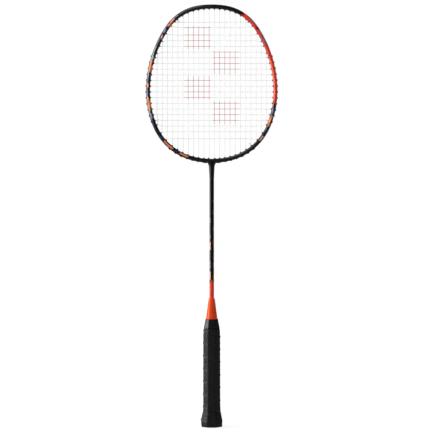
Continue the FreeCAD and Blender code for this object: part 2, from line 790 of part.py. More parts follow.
def cone_radius(height):
    """Radius of the cone's outside at a height above its base."""
    return S.cone_base / 2 - (S.cone_base - S.cone_top) / 2 * height / S.cone_height


def nose_corners(gap, length):
    """Half profile of the handle's nose, a glue gap inside the cone's hollow."""
    inside = S.cone_wall + gap
    return [
        (NONE, S.grip_top - S.overlap),
        (cone_radius(NONE) - inside, S.grip_top - S.overlap),
        (cone_radius(NONE) - inside, S.grip_top),
        (cone_radius(length) - inside, S.grip_top + length),
        (NONE, S.grip_top + length),
    ]


def staple_hole(body, x, y, foot, length):
    """A hole for one staple leg, running upwards."""
    name = "leg_hole_%d" % len(body.Group)
    sketch = new_sketch(body, name + "_section", "XY_Plane", foot - S.overrun)
    circle(sketch, S.leg_hole, x, y)
    feature(body, "Pocket", name, sketch, Length=length + S.overrun, Reversed=True)


def make_cone():
    body = new_body("cone_cap")
    top = S.grip_top + S.cone_height
    shaft_hole = S.shaft_diameter / 2 + S.glue_gap
    shoulder = S.nose_length + S.glue_gap * 2
    profile = new_sketch(body, "cone_profile", "XZ_Plane")
    polygon(profile, [
        (cone_radius(NONE) - S.cone_wall, S.grip_top + S.glue_gap),
        (cone_radius(NONE), S.grip_top + S.glue_gap),
        (S.cone_top / 2, top),
        (shaft_hole, top),
        (shaft_hole, S.grip_top + shoulder),
        (cone_radius(shoulder) - S.cone_wall, S.grip_top + shoulder),
    ])
    axis = (origin_feature(body, "Z_Axis"), [""])
    turned = feature(body, "Revolution", "cone", profile, ReferenceAxis=axis)
    doc.recompute()
    rounding = body.newObject("PartDesign::Fillet", "cone_edge")
    rounding.Base = (turned, [outer_edge_at(turned.Shape, float(top), S.cone_top.number / 2)])
    drive(rounding, "Radius", S.cone_round)
    body.Tip = rounding
    return body


def outer_edge_at(shape, height, radius):
    """Name of the circular edge with this radius at this height."""
    for number, edge in enumerate(shape.Edges, start=1):
        if isinstance(edge.Curve, Part.Circle) and abs(edge.Curve.Radius - radius) < 1e-3:
            if abs(edge.Curve.Center.z - height) < 1e-3:
                return "Edge%d" % number
    raise ValueError("no such edge")


def make_butt_cap():
    """Hollow flared cap: the spigot fills it, the staples hold it and the disc closes it below."""
    body = new_body("butt_cap")
    inset = S.grip_thickness + S.glue_gap
    foot = (S.cap_foot, S.cap_foot_width, S.cap_foot_depth)
    octagon_loft(body, "AdditiveLoft", "cap_outside", [foot] + grip_stations()[:5], inset)
    hollow = new_sketch(body, "cap_hollow_section", "XY_Plane", S.cap_foot + S.cap_floor - S.glue_gap)
    room = S.grip_thickness
    octagon(hollow, S.handle_width - room * 2, S.handle_depth - room * 2)
    feature(body, "Pocket", "cap_hollow", hollow, Length=S.waist_height, Reversed=True)
    recess = new_sketch(body, "disc_recess_section", "XY_Plane", S.cap_foot - S.overrun)
    octagon(recess, S.disc_width + S.seat_clearance * 2, S.disc_depth + S.seat_clearance * 2)
    depth = S.disc_thickness - S.cap_foot + S.overrun + S.glue_gap
    feature(body, "Pocket", "disc_recess", recess, Length=depth, Reversed=True)
    for y in (-S.staple_spacing / 2, S.staple_spacing / 2):
        slot = new_sketch(body, "staple_slot_%d" % len(body.Group), "XY_Plane", S.cap_foot - S.overrun)
        far, half = S.staple_span / 2 + S.staple_slot / 2, S.staple_slot / 2
        polygon(slot, [(-far, y - half), (far, y - half), (far, y + half), (-far, y + half)])
        sunk = depth + S.staple_wire + S.glue_gap * 2
        feature(body, "Pocket", slot.Name + "_cut", slot, Length=sunk, Reversed=True)
        for x in (-S.staple_span / 2, S.staple_span / 2):
            staple_hole(body, x, y, S.cap_foot, S.cap_floor + S.overrun)
    return body


def make_end_disc():
    body = new_body("end_disc")
    face = new_sketch(body, "disc_face", "XY_Plane")
    octagon(face, S.disc_width, S.disc_depth)
    feature(body, "Pad", "disc", face, Length=S.disc_thickness)
    return body


def make_staples():
    """Two staples, driven up through the cap's floor into the core."""
    body = new_body("staple")
    crown = S.disc_thickness + S.glue_gap
    outer, inner = S.staple_span / 2 + S.staple_wire / 2, S.staple_span / 2 - S.staple_wire / 2
    side = new_sketch(body, "staple_side", "XZ_Plane", -(S.staple_wire / 2))
    polygon(side, mirrored_outline([
        (outer, crown),
        (outer, crown + S.staple_leg),
        (inner, crown + S.staple_leg),
        (inner, crown + S.staple_wire),
    ]))
    feature(body, "Pad", "staple_wire_pad", side, Length=S.staple_wire)
    spots = [Placement(Vector(0, way * S.staple_spacing.number / 2, 0), Rotation()) for way in SIDES]
    return placed_copies("cap_staples", body, spots)


def placed_copies(name, body, placements):
    """Separate solids of one pattern piece, each at its own placement."""
    copies = []
    for number, placement in enumerate(placements, start=1):
        copy = doc.addObject("App::Link", "%s_%02d" % (name, number))
        copy.LinkedObject = body
        copy.Placement = placement
        copies.append(copy)
    group = doc.addObject("Part::Compound", name)
    group.Links = copies
    return group


# ---------------------------------------------------------------------------------------------
# Grommets
# ---------------------------------------------------------------------------------------------

FLANGE_FOOT = -(S.channel_depth - S.flange_clearance)
FLANGE_TOP = FLANGE_FOOT + S.flange_thickness


def grommet(name, barrel, bore, flange, ear_length, ear_top):
    """One grommet at the rim's outer edge: barrel down through the rim, flange, an ear each side."""
    body = new_body(name)
    face = new_sketch(body, name + "_flange", "XY_Plane", FLANGE_FOOT)
    half_x, half_y = flange / 2, S.channel_width / 2 - S.flange_clearance
    polygon(face, mirrored_outline([
        (half_x - S.flange_bevel, -half_y),
        (half_x, S.flange_bevel - half_y),
        (half_x, half_y - S.flange_bevel),
        (half_x - S.flange_bevel, half_y),
    ]))
    feature(body, "Pad", name + "_flange_pad", face, Length=S.flange_thickness)
    tube = new_sketch(body, name + "_barrel", "XZ_Plane")
    low = -(S.rim_thickness + S.barrel_reach)
    polygon(tube, [
        (NONE, low),
        (barrel / 2 - S.barrel_lead, low),
        (barrel / 2, low + S.barrel_lead),
        (barrel / 2, FLANGE_FOOT + S.overlap),
        (NONE, FLANGE_FOOT + S.overlap),
    ])
    feature(body, "Revolution", name + "_tube", tube, ReferenceAxis=(origin_feature(body, "Z_Axis"), [""]))
    for way in SIDES:
        label = "%s_ear_%s" % (name, "far" if way > 0 else "near")
        ear = new_sketch(body, label, "XY_Plane", FLANGE_TOP - S.overlap)
        inner, outer, end = (half_y - S.ear_thickness) * way, half_y * way, ear_length / 2
        polygon(ear, [(-end, inner), (end, inner), (end, outer), (-end, outer)])
        feature(body, "Pad", label + "_pad", ear, Length=ear_top - FLANGE_TOP + S.overlap)
    hole = new_sketch(body, name + "_bore", "XY_Plane", low - S.overrun)
    circle(hole, bore)
    through = S.rim_thickness + S.barrel_reach + S.overrun * 2
    feature(body, "Pocket", name + "_bore_cut", hole, Length=through, Reversed=True)
    return body


def zone_of(hole):
    """The grommet zone that a hole belongs to, going round from the crown to the throat."""
    if hole is INNERMOST or (MAIN, 1, LOWER) in hole.users:
        return "throat_strip"
    if hole.shared():
        return "grommets_shared"
    for name, stop in (
        ("grommets_crown", S.crown_end_angle),
        ("grommets_shoulder", S.ear_start_angle),
        ("grommets_side", S.jaw_start_angle),
        ("grommets_jaw", S.throat_start_angle),
    ):
        if hole.angle < stop.number:
            return name
    return "grommets_throat"


def rim_spots(zone):
    """Placements of a zone's grommets on both sides, from the crown to the throat."""
    return [OUTLINE.frame(side * hole.angle) for hole in HOLES if zone_of(hole) == zone for side in SIDES]


def make_grommets():
    plain = (S.barrel_diameter, S.barrel_bore, S.flange_length)
    shared = (S.barrel_diameter, S.shared_bore, S.shared_flange)
    flush, raised = -S.crown_ear_drop, S.ear_rise
    kinds = {
        "grommets_crown": grommet("crown_grommet", *plain, S.ear_length, flush),
        "grommets_shoulder": grommet("shoulder_grommet", *plain, S.long_ear, flush),
        "grommets_side": grommet("side_grommet", *plain, S.ear_length, raised),
        "grommets_jaw": grommet("jaw_grommet", *plain, S.long_ear, raised),
        "grommets_throat": grommet("throat_grommet", *plain, S.ear_length, S.throat_ear_rise),
        "grommets_shared": grommet("shared_grommet", *shared, S.shared_ear, flush),
    }
    return {name: placed_copies(name, body, rim_spots(name)) for name, body in kinds.items()}


def strip_box(name, length, width, height, across, foot):
    """A box on the channel beside the neck, on the right: its foot below the rim's outer edge."""
    made = doc.addObject("Part::Box", name)
    for side, value in (("Length", length), ("Width", width), ("Height", height)):
        drive(made, side, value)
    outer = HOLE_OF[(MAIN, 1, LOWER)]
    exit_x = slanted_line(1)[1].x
    inner_angle = 180 - math.degrees(math.asin(exit_x / (S.throat_radius.number - S.channel_depth.number)))
    corner = Vector(-length.number / 2, float(across) - width.number / 2, foot.number)
    made.Placement = OUTLINE.frame((inner_angle + outer.angle) / 2) * Placement(corner, Rotation())
    return made


def make_throat_strip():
    """Right side: two barrels on one flange beside the neck, the inner one slanting to the middle."""
    outer = HOLE_OF[(MAIN, 1, LOWER)]
    mouth, out = slanted_line(1)
    upright, slant = Rotation(AXIS_Y, outer.angle), Rotation(AXIS_Z, out - mouth)
    width = S.channel_width - S.flange_clearance * 2
    solids = [strip_box("strip_flange", S.strip_length, width, S.flange_thickness, 0, FLANGE_FOOT)]
    ear_foot = FLANGE_TOP - S.overlap
    for number, way in enumerate(SIDES, start=1):
        lane = (width / 2 - S.ear_thickness / 2) * way
        rise = S.throat_ear_rise - ear_foot
        solids.append(strip_box("strip_ear_%d" % number, S.strip_ear, S.ear_thickness, rise, lane, ear_foot))
    foot = OUTLINE.point(outer.angle, MOUTH)
    depth = S.rim_thickness + S.barrel_reach - S.channel_depth + S.strip_barrel_rise
    solids.append(cylinder("strip_barrel_outer", S.barrel_diameter, depth, foot, upright))
    inner = cylinder("strip_barrel_inner", S.barrel_diameter, depth, mouth, slant)
    drive(inner, "Height", S.strip_barrel_rise * 2 + (out - mouth).Length)
    solids.append(inner)
    through = S.rim_thickness + S.barrel_reach + S.overrun * 4
    below = OUTLINE.point(outer.angle, MOUTH - S.overrun.number)
    before = mouth - (out - mouth).normalize() * S.overrun.number
    bores = [
        cylinder("strip_bore_outer", S.barrel_bore, through, below, upright),
        cylinder("strip_bore_inner", S.barrel_bore, through, before, slant),
    ]
    return cut("throat_strip_right", fuse("strip_solid", solids), fuse("strip_bores", bores))


# ---------------------------------------------------------------------------------------------
# Strings: two continuous cords, woven, through the grommets and along the outer channel
# ---------------------------------------------------------------------------------------------

STRING_RADIUS = S.string_diameter.number / 2
WEAVE = (S.string_diameter.number + S.weave_gap.number) / 2
LANE = {MAIN: S.string_lane.number, CROSS: -S.string_lane.number}
TURN_IN = MOUTH - S.string_turn.number
RUN = -(S.channel_depth - S.flange_clearance - S.flange_thickness).number + STRING_RADIUS + S.run_gap.number


def rim_passage(hole, side, kind, slanted=False):
    """Where a string turns inside and outside a hole: first the inner turn, then the outer one."""
    lane = LANE[kind]
    if slanted:
        mouth, out = slanted_line(side)
        along = (out - mouth).normalize()
        upright = along.dot(OUTLINE.point(hole.angle, 1.0) - OUTLINE.point(hole.angle, 0.0))
        turn_in = mouth - along * S.string_turn.number
        turn_out = out + along * ((S.channel_depth.number + RUN) / upright)
        return [Vector(turn_in.x, lane, turn_in.z), Vector(turn_out.x, lane, turn_out.z)]
    angle = side * hole.angle
    return [OUTLINE.point(angle, TURN_IN, lane), OUTLINE.point(angle, RUN, lane)]


def main_place(index):
    """Side of a main string numbered from the left, and its number out from the middle."""
    if index < HALF_MAINS:
        return -1, HALF_MAINS - 1 - index
    return 1, index - HALF_MAINS


def main_across(index):
    """Signed distance from the axis of a main string numbered from the left."""
    side, place = main_place(index)
    return side * main_x(place)


def main_end(index, end):
    """Hole, side and passage of one end of a main string, numbered from the left."""
    side, place = main_place(index)
    hole = HOLE_OF[(MAIN, place, end)]
    return hole, side, rim_passage(hole, side, MAIN, hole is INNERMOST)


def cross_end(index, side):
    hole = HOLE_OF[(CROSS, index, None)]
    return hole, side, rim_passage(hole, side, CROSS)


def leaving_angle(hole, side):
    """Signed rim angle at which a string lies in the outer channel as it leaves a hole."""
    if hole is not INNERMOST:
        return side * hole.angle
    turn_out = rim_passage(hole, side, MAIN, True)[1]
    return side * (180 - math.degrees(math.asin(abs(turn_out.x) / (S.throat_radius.number + RUN))))


def along_rim(start, stop, kind):
    """Points of a run along the outer channel between two (hole, side) ends, to follow the curve."""
    first, last = leaving_angle(*start), leaving_angle(*stop)
    if first * last < 0:
        steps = 2
    else:
        steps = math.ceil(abs(OUTLINE.travel(abs(last)) - OUTLINE.travel(abs(first))) / S.run_step.number)
    return [OUTLINE.point(first + (last - first) * step / steps, RUN, LANE[kind]) for step in range(1, steps)]


def crossing_height(main, cross):
    """Offset of a main string from the face where it meets a cross string, or None if it does not."""
    (top_hole, side, top), (foot_hole, _, foot) = main_end(main, UPPER), main_end(main, LOWER)
    cross_hole, _, edge = cross_end(cross, side)
    if cross_hole in (top_hole, foot_hole):
        return None
    z = cross_z(cross)
    room = min(top[0].z - z, z - foot[0].z, abs(edge[0].x) - abs(main_across(main)))
    if room < S.least_crossing.number:
        return None
    if room < S.settled_crossing.number:
        return WEAVE
    return WEAVE if (main + cross) % 2 == 0 else -WEAVE


MAINS = 2 * HALF_MAINS
CROSSINGS = {(main, cross): crossing_height(main, cross) for main in range(MAINS) for cross in range(CROSSES)}


def main_line(index):
    """A main string between its two inner turns, from the top down."""
    x, heights = main_across(index), [CROSSINGS[(index, cross)] for cross in range(CROSSES)]
    met = [cross for cross in range(CROSSES) if heights[cross] is not None]
    return [Vector(x, heights[cross], cross_z(cross)) for cross in met]


def cross_line(index):
    """A cross string between its two inner turns, from left to right."""
    z, heights = cross_z(index), [CROSSINGS[(main, index)] for main in range(MAINS)]
    met = [main for main in range(MAINS) if heights[main] is not None]
    return [Vector(main_across(main), -heights[main], z) for main in met]


def tail(hole, side, kind):
    """The tied end: in through a neighbouring hole, then clear of the string that is in it."""
    angle, lane = side * hole.angle, LANE[kind]
    apart = math.copysign(S.tail_offset.number, lane)
    inner, outer = rim_passage(hole, side, kind)
    return [
        OUTLINE.point(angle, TURN_IN - S.tail_length.number, apart),
        OUTLINE.point(angle, TURN_IN - S.tail_step.number, apart),
        inner,
        outer,
    ]


def main_route():
    """The main string from its left tail, up and down across the head, to its right tail."""
    last = MAINS - 1
    tie = HOLE_OF[(CROSS, CROSSES - 4, None)]
    points = tail(tie, -1, MAIN) + along_rim((tie, -1), main_end(0, LOWER)[:2], MAIN)
    for index in range(last + 1):
        rising = index % 2 == 0
        first, second = (LOWER, UPPER) if rising else (UPPER, LOWER)
        way_in, way_out = main_end(index, first), main_end(index, second)
        line = main_line(index)
        points += list(reversed(way_in[2])) + (line[::-1] if rising else line) + way_out[2]
        if index < last:
            following = main_end(index + 1, second)
            points += along_rim(way_out[:2], following[:2], MAIN)
    points += along_rim(main_end(last, LOWER)[:2], (tie, 1), MAIN)
    return points + tail(tie, 1, MAIN)[::-1]


def cross_route():
    """The cross string from its left tail at the crown, side to side down the head."""
    first_tie = HOLE_OF[(MAIN, 6, UPPER)]
    last_tie = HOLE_OF[(MAIN, 7, LOWER)]
    points = tail(first_tie, -1, CROSS) + along_rim((first_tie, -1), cross_end(0, -1)[:2], CROSS)
    for index in range(CROSSES):
        way = 1 if index % 2 == 0 else -1
        way_in, way_out = cross_end(index, -way), cross_end(index, way)
        line = cross_line(index)
        points += list(reversed(way_in[2])) + (line if way > 0 else line[::-1]) + way_out[2]
        if index < CROSSES - 1:
            following = cross_end(index + 1, way)
            points += along_rim(way_out[:2], following[:2], CROSS)
    points += along_rim(cross_end(CROSSES - 1, 1)[:2], (last_tie, 1), CROSS)
    return points + tail(last_tie, 1, CROSS)[::-1]


STRAIGHT, SLIGHT, ARC_STEP = (math.radians(angle) for angle in (0.3, 25, 30))
ARC_SHARE = 0.45


def rounded(points):
    """The route without its straight corners, and with each sharp turn replaced by a short arc."""
    smooth = [points[0]]
    for before, corner, after in zip(points, points[1:], points[2:]):
        come, leave = corner - before, after - corner
        room = ARC_SHARE * min(come.Length, leave.Length)
        turn = come.getAngle(leave)
        if turn < STRAIGHT:
            continue
        if turn < SLIGHT:
            smooth.append(corner)
            continue
        come.normalize()
        leave.normalize()
        back = min(room, S.string_bend.number * math.tan(turn / 2))
        radius = back / math.tan(turn / 2)
        inward = (leave - come * math.cos(turn)) / math.sin(turn)
        steps = math.ceil(turn / ARC_STEP)
        for step in range(steps + 1):
            angle = turn * step / steps
            arc = come * math.sin(angle) + inward * (1 - math.cos(angle))
            smooth.append(corner - come * back + arc * radius)
    return smooth + [points[-1]]


def swept(section, points):
    """A solid that carries the section along the points, or None if the sweep is not sound."""
    spine = Part.makePolygon(points)
    solid = spine.makePipeShell([section], True, False, 1)
    volume = math.pi * STRING_RADIUS**2 * spine.Length
    if solid.isNull() or not solid.isValid() or abs(solid.Volume / volume - 1) > 0.01:
        return None
    return solid


def cap_at(solid, point):
    """The flat end face of a swept stretch at a point."""
    return min(solid.Faces, key=lambda face: (face.CenterOfMass - point).Length)


def string_stretches(points):
    """The string as solids end to end, each one starting from the end of the one before."""
    section = Part.Wire(Part.Circle(points[0], points[1] - points[0], STRING_RADIUS).toShape())
    stretches, rest = [], points
    while rest:
        solid, count = None, min(len(rest), int(S.longest_sweep.number))
        while solid is None:
            whole = count == len(rest)
            if not whole and (rest[count] - rest[count - 1]).Length < S.least_stretch.number:
                count -= 1
                continue
            piece = rest if whole else rest[:count] + [(rest[count - 1] + rest[count]) / 2]
            solid = swept(section, piece)
            count -= 0 if solid else max(1, count // 4)
        stretches.append((solid, piece[0], piece[-1]))
        section = cap_at(solid, piece[-1]).OuterWire
        rest = [] if whole else [piece[-1]] + rest[len(piece) - 1 :]
    return stretches


def knotted_tail(cap, outwards):
    """The end of a tail from a flat end face of the string: a short rod with its knot."""
    rod = cap.extrude(outwards * (S.knot_length + S.tail_end + S.knot_rest).number)
    foot = cap.CenterOfMass + outwards * S.knot_rest.number
    return rod.fuse(Part.makeCylinder(S.knot_diameter.number / 2, S.knot_length.number, foot, outwards))


def without(shape, caps):
    """The faces of a shape, less the ones that lie at the given end faces."""
    ends = [cap.CenterOfMass for cap in caps]
    return [face for face in shape.Faces if all((face.CenterOfMass - end).Length > 1e-4 for end in ends)]


def string_along(name, route):
    """A round string swept along its route, with a knot on each tail."""
    points = rounded(route)
    tail = (S.knot_length + S.tail_end + S.knot_rest).number
    first_way = (points[0] - points[1]).normalize()
    last_way = (points[-1] - points[-2]).normalize()
    points = [points[0] - first_way * tail] + points[1:-1] + [points[-1] - last_way * tail]
    stretches = string_stretches(points)
    faces = []
    for solid, start, stop in stretches:
        faces += without(solid, [cap_at(solid, start), cap_at(solid, stop)])
    first_cap, last_cap = cap_at(stretches[0][0], points[0]), cap_at(stretches[-1][0], points[-1])
    faces += without(knotted_tail(first_cap, first_way), [first_cap])
    faces += without(knotted_tail(last_cap, last_way), [last_cap])
    shell = Part.makeShell(faces)
    shell.sewShape()
    made = doc.addObject("Part::Feature", name)
    made.Shape = Part.makeSolid(shell.Shells[0])
    return made


# ---------------------------------------------------------------------------------------------
# The racket
# ---------------------------------------------------------------------------------------------


def make_racket():
    """Every sub-part, in the order of assembly."""
    holes = make_string_holes()
    parts = {
        "head_frame": make_head_frame(holes),
        "t_joint": make_t_joint(holes),
        "shaft": make_shaft(),
        "handle_core": make_handle_core(),
        "cone_cap": make_cone(),
        "butt_cap": make_butt_cap(),
        "cap_staples": make_staples(),
        "end_disc": make_end_disc(),
        "grip_tape": make_grip_tape(),
        "finishing_tape": make_finishing_tape(),
    }
    parts.update(make_grommets())
    parts["throat_strip_right"] = make_throat_strip()
    parts["throat_strip_left"] = other_half(parts["throat_strip_right"], "throat_strip_left")
    parts["main_string"] = string_along("main_string", main_route())
    parts["cross_string"] = string_along("cross_string", cross_route())
    return parts


def check_document():
    """Stops the build if any object failed or any shape is empty or invalid."""
    doc.recompute()
    for item in doc.Objects:
        if {"Invalid", "Error"} & set(item.State):
            raise RuntimeError("%s did not recompute" % item.Name)
        if item.isDerivedFrom("Part::Feature") and not item.isDerivedFrom("Part::Part2DObject"):
            if item.Shape.isNull() or not item.Shape.isValid():
                raise RuntimeError("%s has no valid shape" % item.Name)


def main():
    parts = make_racket()
    check_document()
    os.makedirs("parts", exist_ok=True)
    for name, item in parts.items():
        item.Label = name
        item.Shape.exportStep("parts/%s.step" % name)


main()
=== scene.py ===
"""Badminton racket: the finish of each part, the wound grip and the studio round it."""

import math

import bmesh
import bpy
import numpy as np
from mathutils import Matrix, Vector


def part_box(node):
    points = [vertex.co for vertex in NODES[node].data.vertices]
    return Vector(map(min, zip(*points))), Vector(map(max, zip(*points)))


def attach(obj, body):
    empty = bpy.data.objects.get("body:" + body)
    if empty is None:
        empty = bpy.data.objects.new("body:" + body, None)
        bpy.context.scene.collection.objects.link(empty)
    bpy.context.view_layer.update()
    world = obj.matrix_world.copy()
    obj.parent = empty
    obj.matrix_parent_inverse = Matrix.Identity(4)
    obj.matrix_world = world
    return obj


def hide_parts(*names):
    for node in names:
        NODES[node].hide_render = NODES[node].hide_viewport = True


bl_info = {
    "name": "Badminton Racket",
    "version": (1, 0, 0),
    "blender": (4, 5, 0),
    "location": "View3D > Sidebar > Racket",
    "description": "Paints, strings and wraps a badminton racket and sets it in a studio",
    "category": "Object",
}

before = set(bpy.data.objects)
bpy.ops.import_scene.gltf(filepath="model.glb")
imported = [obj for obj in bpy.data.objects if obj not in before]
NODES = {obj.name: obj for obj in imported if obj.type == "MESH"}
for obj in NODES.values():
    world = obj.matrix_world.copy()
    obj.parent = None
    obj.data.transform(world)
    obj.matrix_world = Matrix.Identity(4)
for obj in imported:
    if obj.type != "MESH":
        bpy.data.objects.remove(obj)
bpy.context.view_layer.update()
MM = 0.001
FULL_TURN = 2 * math.pi


# ---------------------------------------------------------------- settings


def length(name, description, default):
    """A length in metres that a user may change."""
    return bpy.props.FloatProperty(
        name=name, description=description, default=default, min=0.0, precision=5,
        unit="LENGTH", subtype="DISTANCE",
    )


def share(name, description, default):
    """A number from 0 to 1."""
    return bpy.props.FloatProperty(
        name=name, description=description, default=default, min=0.0, max=1.0,
        subtype="FACTOR",
    )


def count(name, description, default):
    """A whole number of like things."""
    return bpy.props.IntProperty(name=name, description=description, default=default, min=1)


def paint(name, description, red, green, blue):
    """A colour as it looks on a screen, each part from 0 to 255."""
    return bpy.props.FloatVectorProperty(
        name=name, description=description, size=3, min=0.0, max=1.0,
        default=(red / 255, green / 255, blue / 255), subtype="COLOR_GAMMA",
    )


class RacketSizes(bpy.types.PropertyGroup):
    """Sizes of the wound grip and of the patterns."""

    head_centre: length("Head centre", "Height of the middle of the head", 0.537)
    tape_pitch: length("Tape pitch", "Climb of the grip tape in one turn", 0.0203)
    tape_start: length("Tape start", "Height of a tape edge at the front of the grip", 0.0272)
    tape_lip: length("Tape lip", "Step where a turn lies on the one below", 0.0007)
    tape_lap: share("Tape lap", "Part of the tape's width that lies on the turn below", 0.15)
    tape_wall: length("Tape thickness", "Thickness of the grip tape", 0.0012)
    hole_rows: count("Hole rows", "Rows of air holes along the grip tape", 2)
    hole_spacing: length("Hole spacing", "Distance between air holes along the tape", 0.0065)
    hole_radius: length("Hole radius", "Radius of an air hole", 0.0005)
    band_wall: length("Band thickness", "Thickness of the band that ties off the grip", 0.0003)
    band_crease: length("Band crease", "Depth of the band's creases", 0.00012)
    shaft_foot: length("Orange foot", "Top of the shaft's orange foot", 0.2365)
    motif_width: length("Motif width", "Width of one block of the string pattern", 0.046)
    motif_height: length("Motif height", "Height of one block of the string pattern", 0.040)
    motif_foot: length("Motif foot", "Height at which the string pattern starts", 0.482)


class RacketColours(bpy.types.PropertyGroup):
    """Colours of the lacquers, the strings and the grip."""

    black: paint("Black lacquer", "Ground colour of the frame and shaft", 11, 10, 14)
    orange: paint("Orange lacquer", "Main colour of the right side and cone", 221, 60, 20)
    amber: paint("Light orange", "Dashes on the frame", 232, 124, 66)
    rust: paint("Rust", "Dull orange flecks on the shaft", 150, 74, 42)
    # Silver paint, which on the frame's lit left side also stands in for its sheen: partly painted
    # sheen.
    silver_and_sheen: paint("Silver", "Pale dashes on the frame", 138, 142, 150)
    navy: paint("Navy", "Dark blue dashes on the frame", 34, 40, 92)
    slate: paint("Slate", "Grey blue dashes on the frame", 104, 108, 142)
    peach: paint("Peach", "Pale pink dashes on the frame and shaft", 214, 160, 142)
    string: paint("String", "Strings", 248, 254, 252)
    ink: paint("String ink", "Pattern inked on the strings", 196, 40, 44)
    nylon: paint("Nylon", "Grommets and strips", 16, 16, 17)
    leather: paint("Grip", "Grip tape", 19, 18, 17)
    vinyl: paint("Band", "Band at the top of the grip", 19, 19, 20)
    teal: paint("Disc", "Disc under the butt", 24, 96, 88)
    wood: paint("Wood", "Handle core", 196, 150, 98)
    steel: paint("Steel", "Staples", 168, 170, 174)


def sizes():
    """The sizes as they are set now."""
    return bpy.context.scene.racket_sizes


def colour(name):
    """A named colour as the shaders take it."""
    shown = getattr(bpy.context.scene.racket_colours, name)
    linear = [
        part / 12.92 if part <= 0.04045 else ((part + 0.055) / 1.055) ** 2.4 for part in shown]
    return (*linear, 1.0)


# ---------------------------------------------------------------- node wiring


# Sockets of a Mix node that mixes colours: factor, A and B, and the result
MIX_INPUTS, MIX_RESULT = (0, 6, 7), 2
# Nearly all of a noise lies between these values.
NOISE_LOW, NOISE_HIGH = 0.3, 0.7


class Wiring:
    """Adds nodes to one tree and joins them."""

    def __init__(self, tree):
        self.tree = tree

    def node(self, kind, **settings):
        """A new node with these settings."""
        made = self.tree.nodes.new(kind)
        for name, value in settings.items():
            setattr(made, name, value)
        return made

    def feed(self, socket, value):
        """Links a socket to the input or sets a constant on it."""
        if isinstance(value, bpy.types.NodeSocket):
            self.tree.links.new(value, socket)
        else:
            socket.default_value = value

    def fill(self, made, **values):
        """Feeds named inputs, with _ for a space."""
        for name, value in values.items():
            self.feed(made.inputs[name.replace("_", " ")], value)
        return made

    def math(self, operation, *values):
        made = self.node("ShaderNodeMath", operation=operation)
        for socket, value in zip(made.inputs, values):
            self.feed(socket, value)
        return made.outputs[0]

    def vector(self, operation, a, b=(0.0, 0.0, 0.0)):
        made = self.node("ShaderNodeVectorMath", operation=operation)
        self.feed(made.inputs[0], a)
        self.feed(made.inputs[1], b)
        return made.outputs["Value" if operation == "LENGTH" else "Vector"]

    def split(self, vector):
        made = self.node("ShaderNodeSeparateXYZ")
        self.feed(made.inputs[0], vector)
        return made.outputs

    def mix(self, share_of_b, a, b, blend="MIX"):
        made = self.node("ShaderNodeMix", data_type="RGBA", blend_type=blend)
        for index, value in zip(MIX_INPUTS, (share_of_b, a, b)):
            self.feed(made.inputs[index], value)
        return made.outputs[MIX_RESULT]

    def span(self, value, low, high, to_low=0.0, to_high=1.0):
        """Maps low..high to to_low..to_high and holds the ends."""
        made = self.node("ShaderNodeMapRange")
        for socket, number in zip(made.inputs, (value, low, high, to_low, to_high)):
            self.feed(socket, number)
        return made.outputs[0]

    def noise(self, vector, scale, detail=3.0, roughness=0.5):
        made = self.node("ShaderNodeTexNoise")
        self.fill(made, Vector=vector, Scale=scale, Detail=detail, Roughness=roughness)
        return made.outputs["Fac"]

    def vary(self, noise, low, high):
        """Stretches a noise to run from low to high."""
        return self.span(noise, NOISE_LOW, NOISE_HIGH, low, high)

    def sway(self, vector, scale, detail, reach):
        """A noise about 0 that goes half the reach to either side."""
        centred = self.math("SUBTRACT", self.noise(vector, scale, detail), 0.5)
        return self.math("MULTIPLY", centred, reach)

    def cells(self, vector, scale, feature="F1"):
        made = self.node("ShaderNodeTexVoronoi", feature=feature)
        self.fill(made, Vector=vector, Scale=scale)
        return made.outputs["Distance"]

    def wander(self, vector, scale, reach):
        """The vector, pushed a little to and fro by a noise."""
        made = self.node("ShaderNodeTexNoise")
        self.fill(made, Vector=vector, Scale=scale, Detail=2.0)
        pushed = self.node("ShaderNodeVectorMath", operation="MULTIPLY_ADD")
        self.feed(pushed.inputs[0], made.outputs["Color"])
        self.feed(pushed.inputs[1], (2 * reach,) * 3)
        self.feed(pushed.inputs[2], (-reach,) * 3)
        return self.vector("ADD", vector, pushed.outputs[0])

    def bands(self, value, stops):
        """Steps of colour along a value: each stop is (where it starts, colour)."""
        made = self.node("ShaderNodeValToRGB")
        ramp = made.color_ramp
        ramp.interpolation = "CONSTANT"
        while len(ramp.elements) < len(stops):
            ramp.elements.new(1.0)
        for element, (start, tint) in zip(ramp.elements, stops):
            element.position = start
            element.color = tint
        self.feed(made.inputs[0], value)
        return made.outputs[0]


def node_group(name, inputs, outputs):
    """A new shader node group with float, vector or colour sockets."""
    tree = bpy.data.node_groups.new(name, "ShaderNodeTree")
    kinds = {"f": "NodeSocketFloat", "v": "NodeSocketVector", "c": "NodeSocketColor"}
    for label, kind in inputs:
        tree.interface.new_socket(label, in_out="INPUT", socket_type=kinds[kind])
    for label, kind in outputs:
        tree.interface.new_socket(label, in_out="OUTPUT", socket_type=kinds[kind])
    wiring = Wiring(tree)
    return wiring, wiring.node("NodeGroupInput").outputs, wiring.node("NodeGroupOutput").inputs


def surface_group(name, wire, *inputs):
    """The group of this name, made on first use.

    wire gives the shade, the drift of the roughness and the height.
    """
    if name in bpy.data.node_groups:
        return bpy.data.node_groups[name]
    w, given, out = node_group(
        name, [("Vector", "v"), *inputs, ("Roughness", "f")],
        [("Shade", "f"), ("Roughness", "f"), ("Height", "f")])
    shade, drift, height = wire(w, given)
    w.feed(out["Shade"], shade)
    w.feed(out["Roughness"], w.math("ADD", given["Roughness"], drift))
    w.feed(out["Height"], height)
    return w.tree


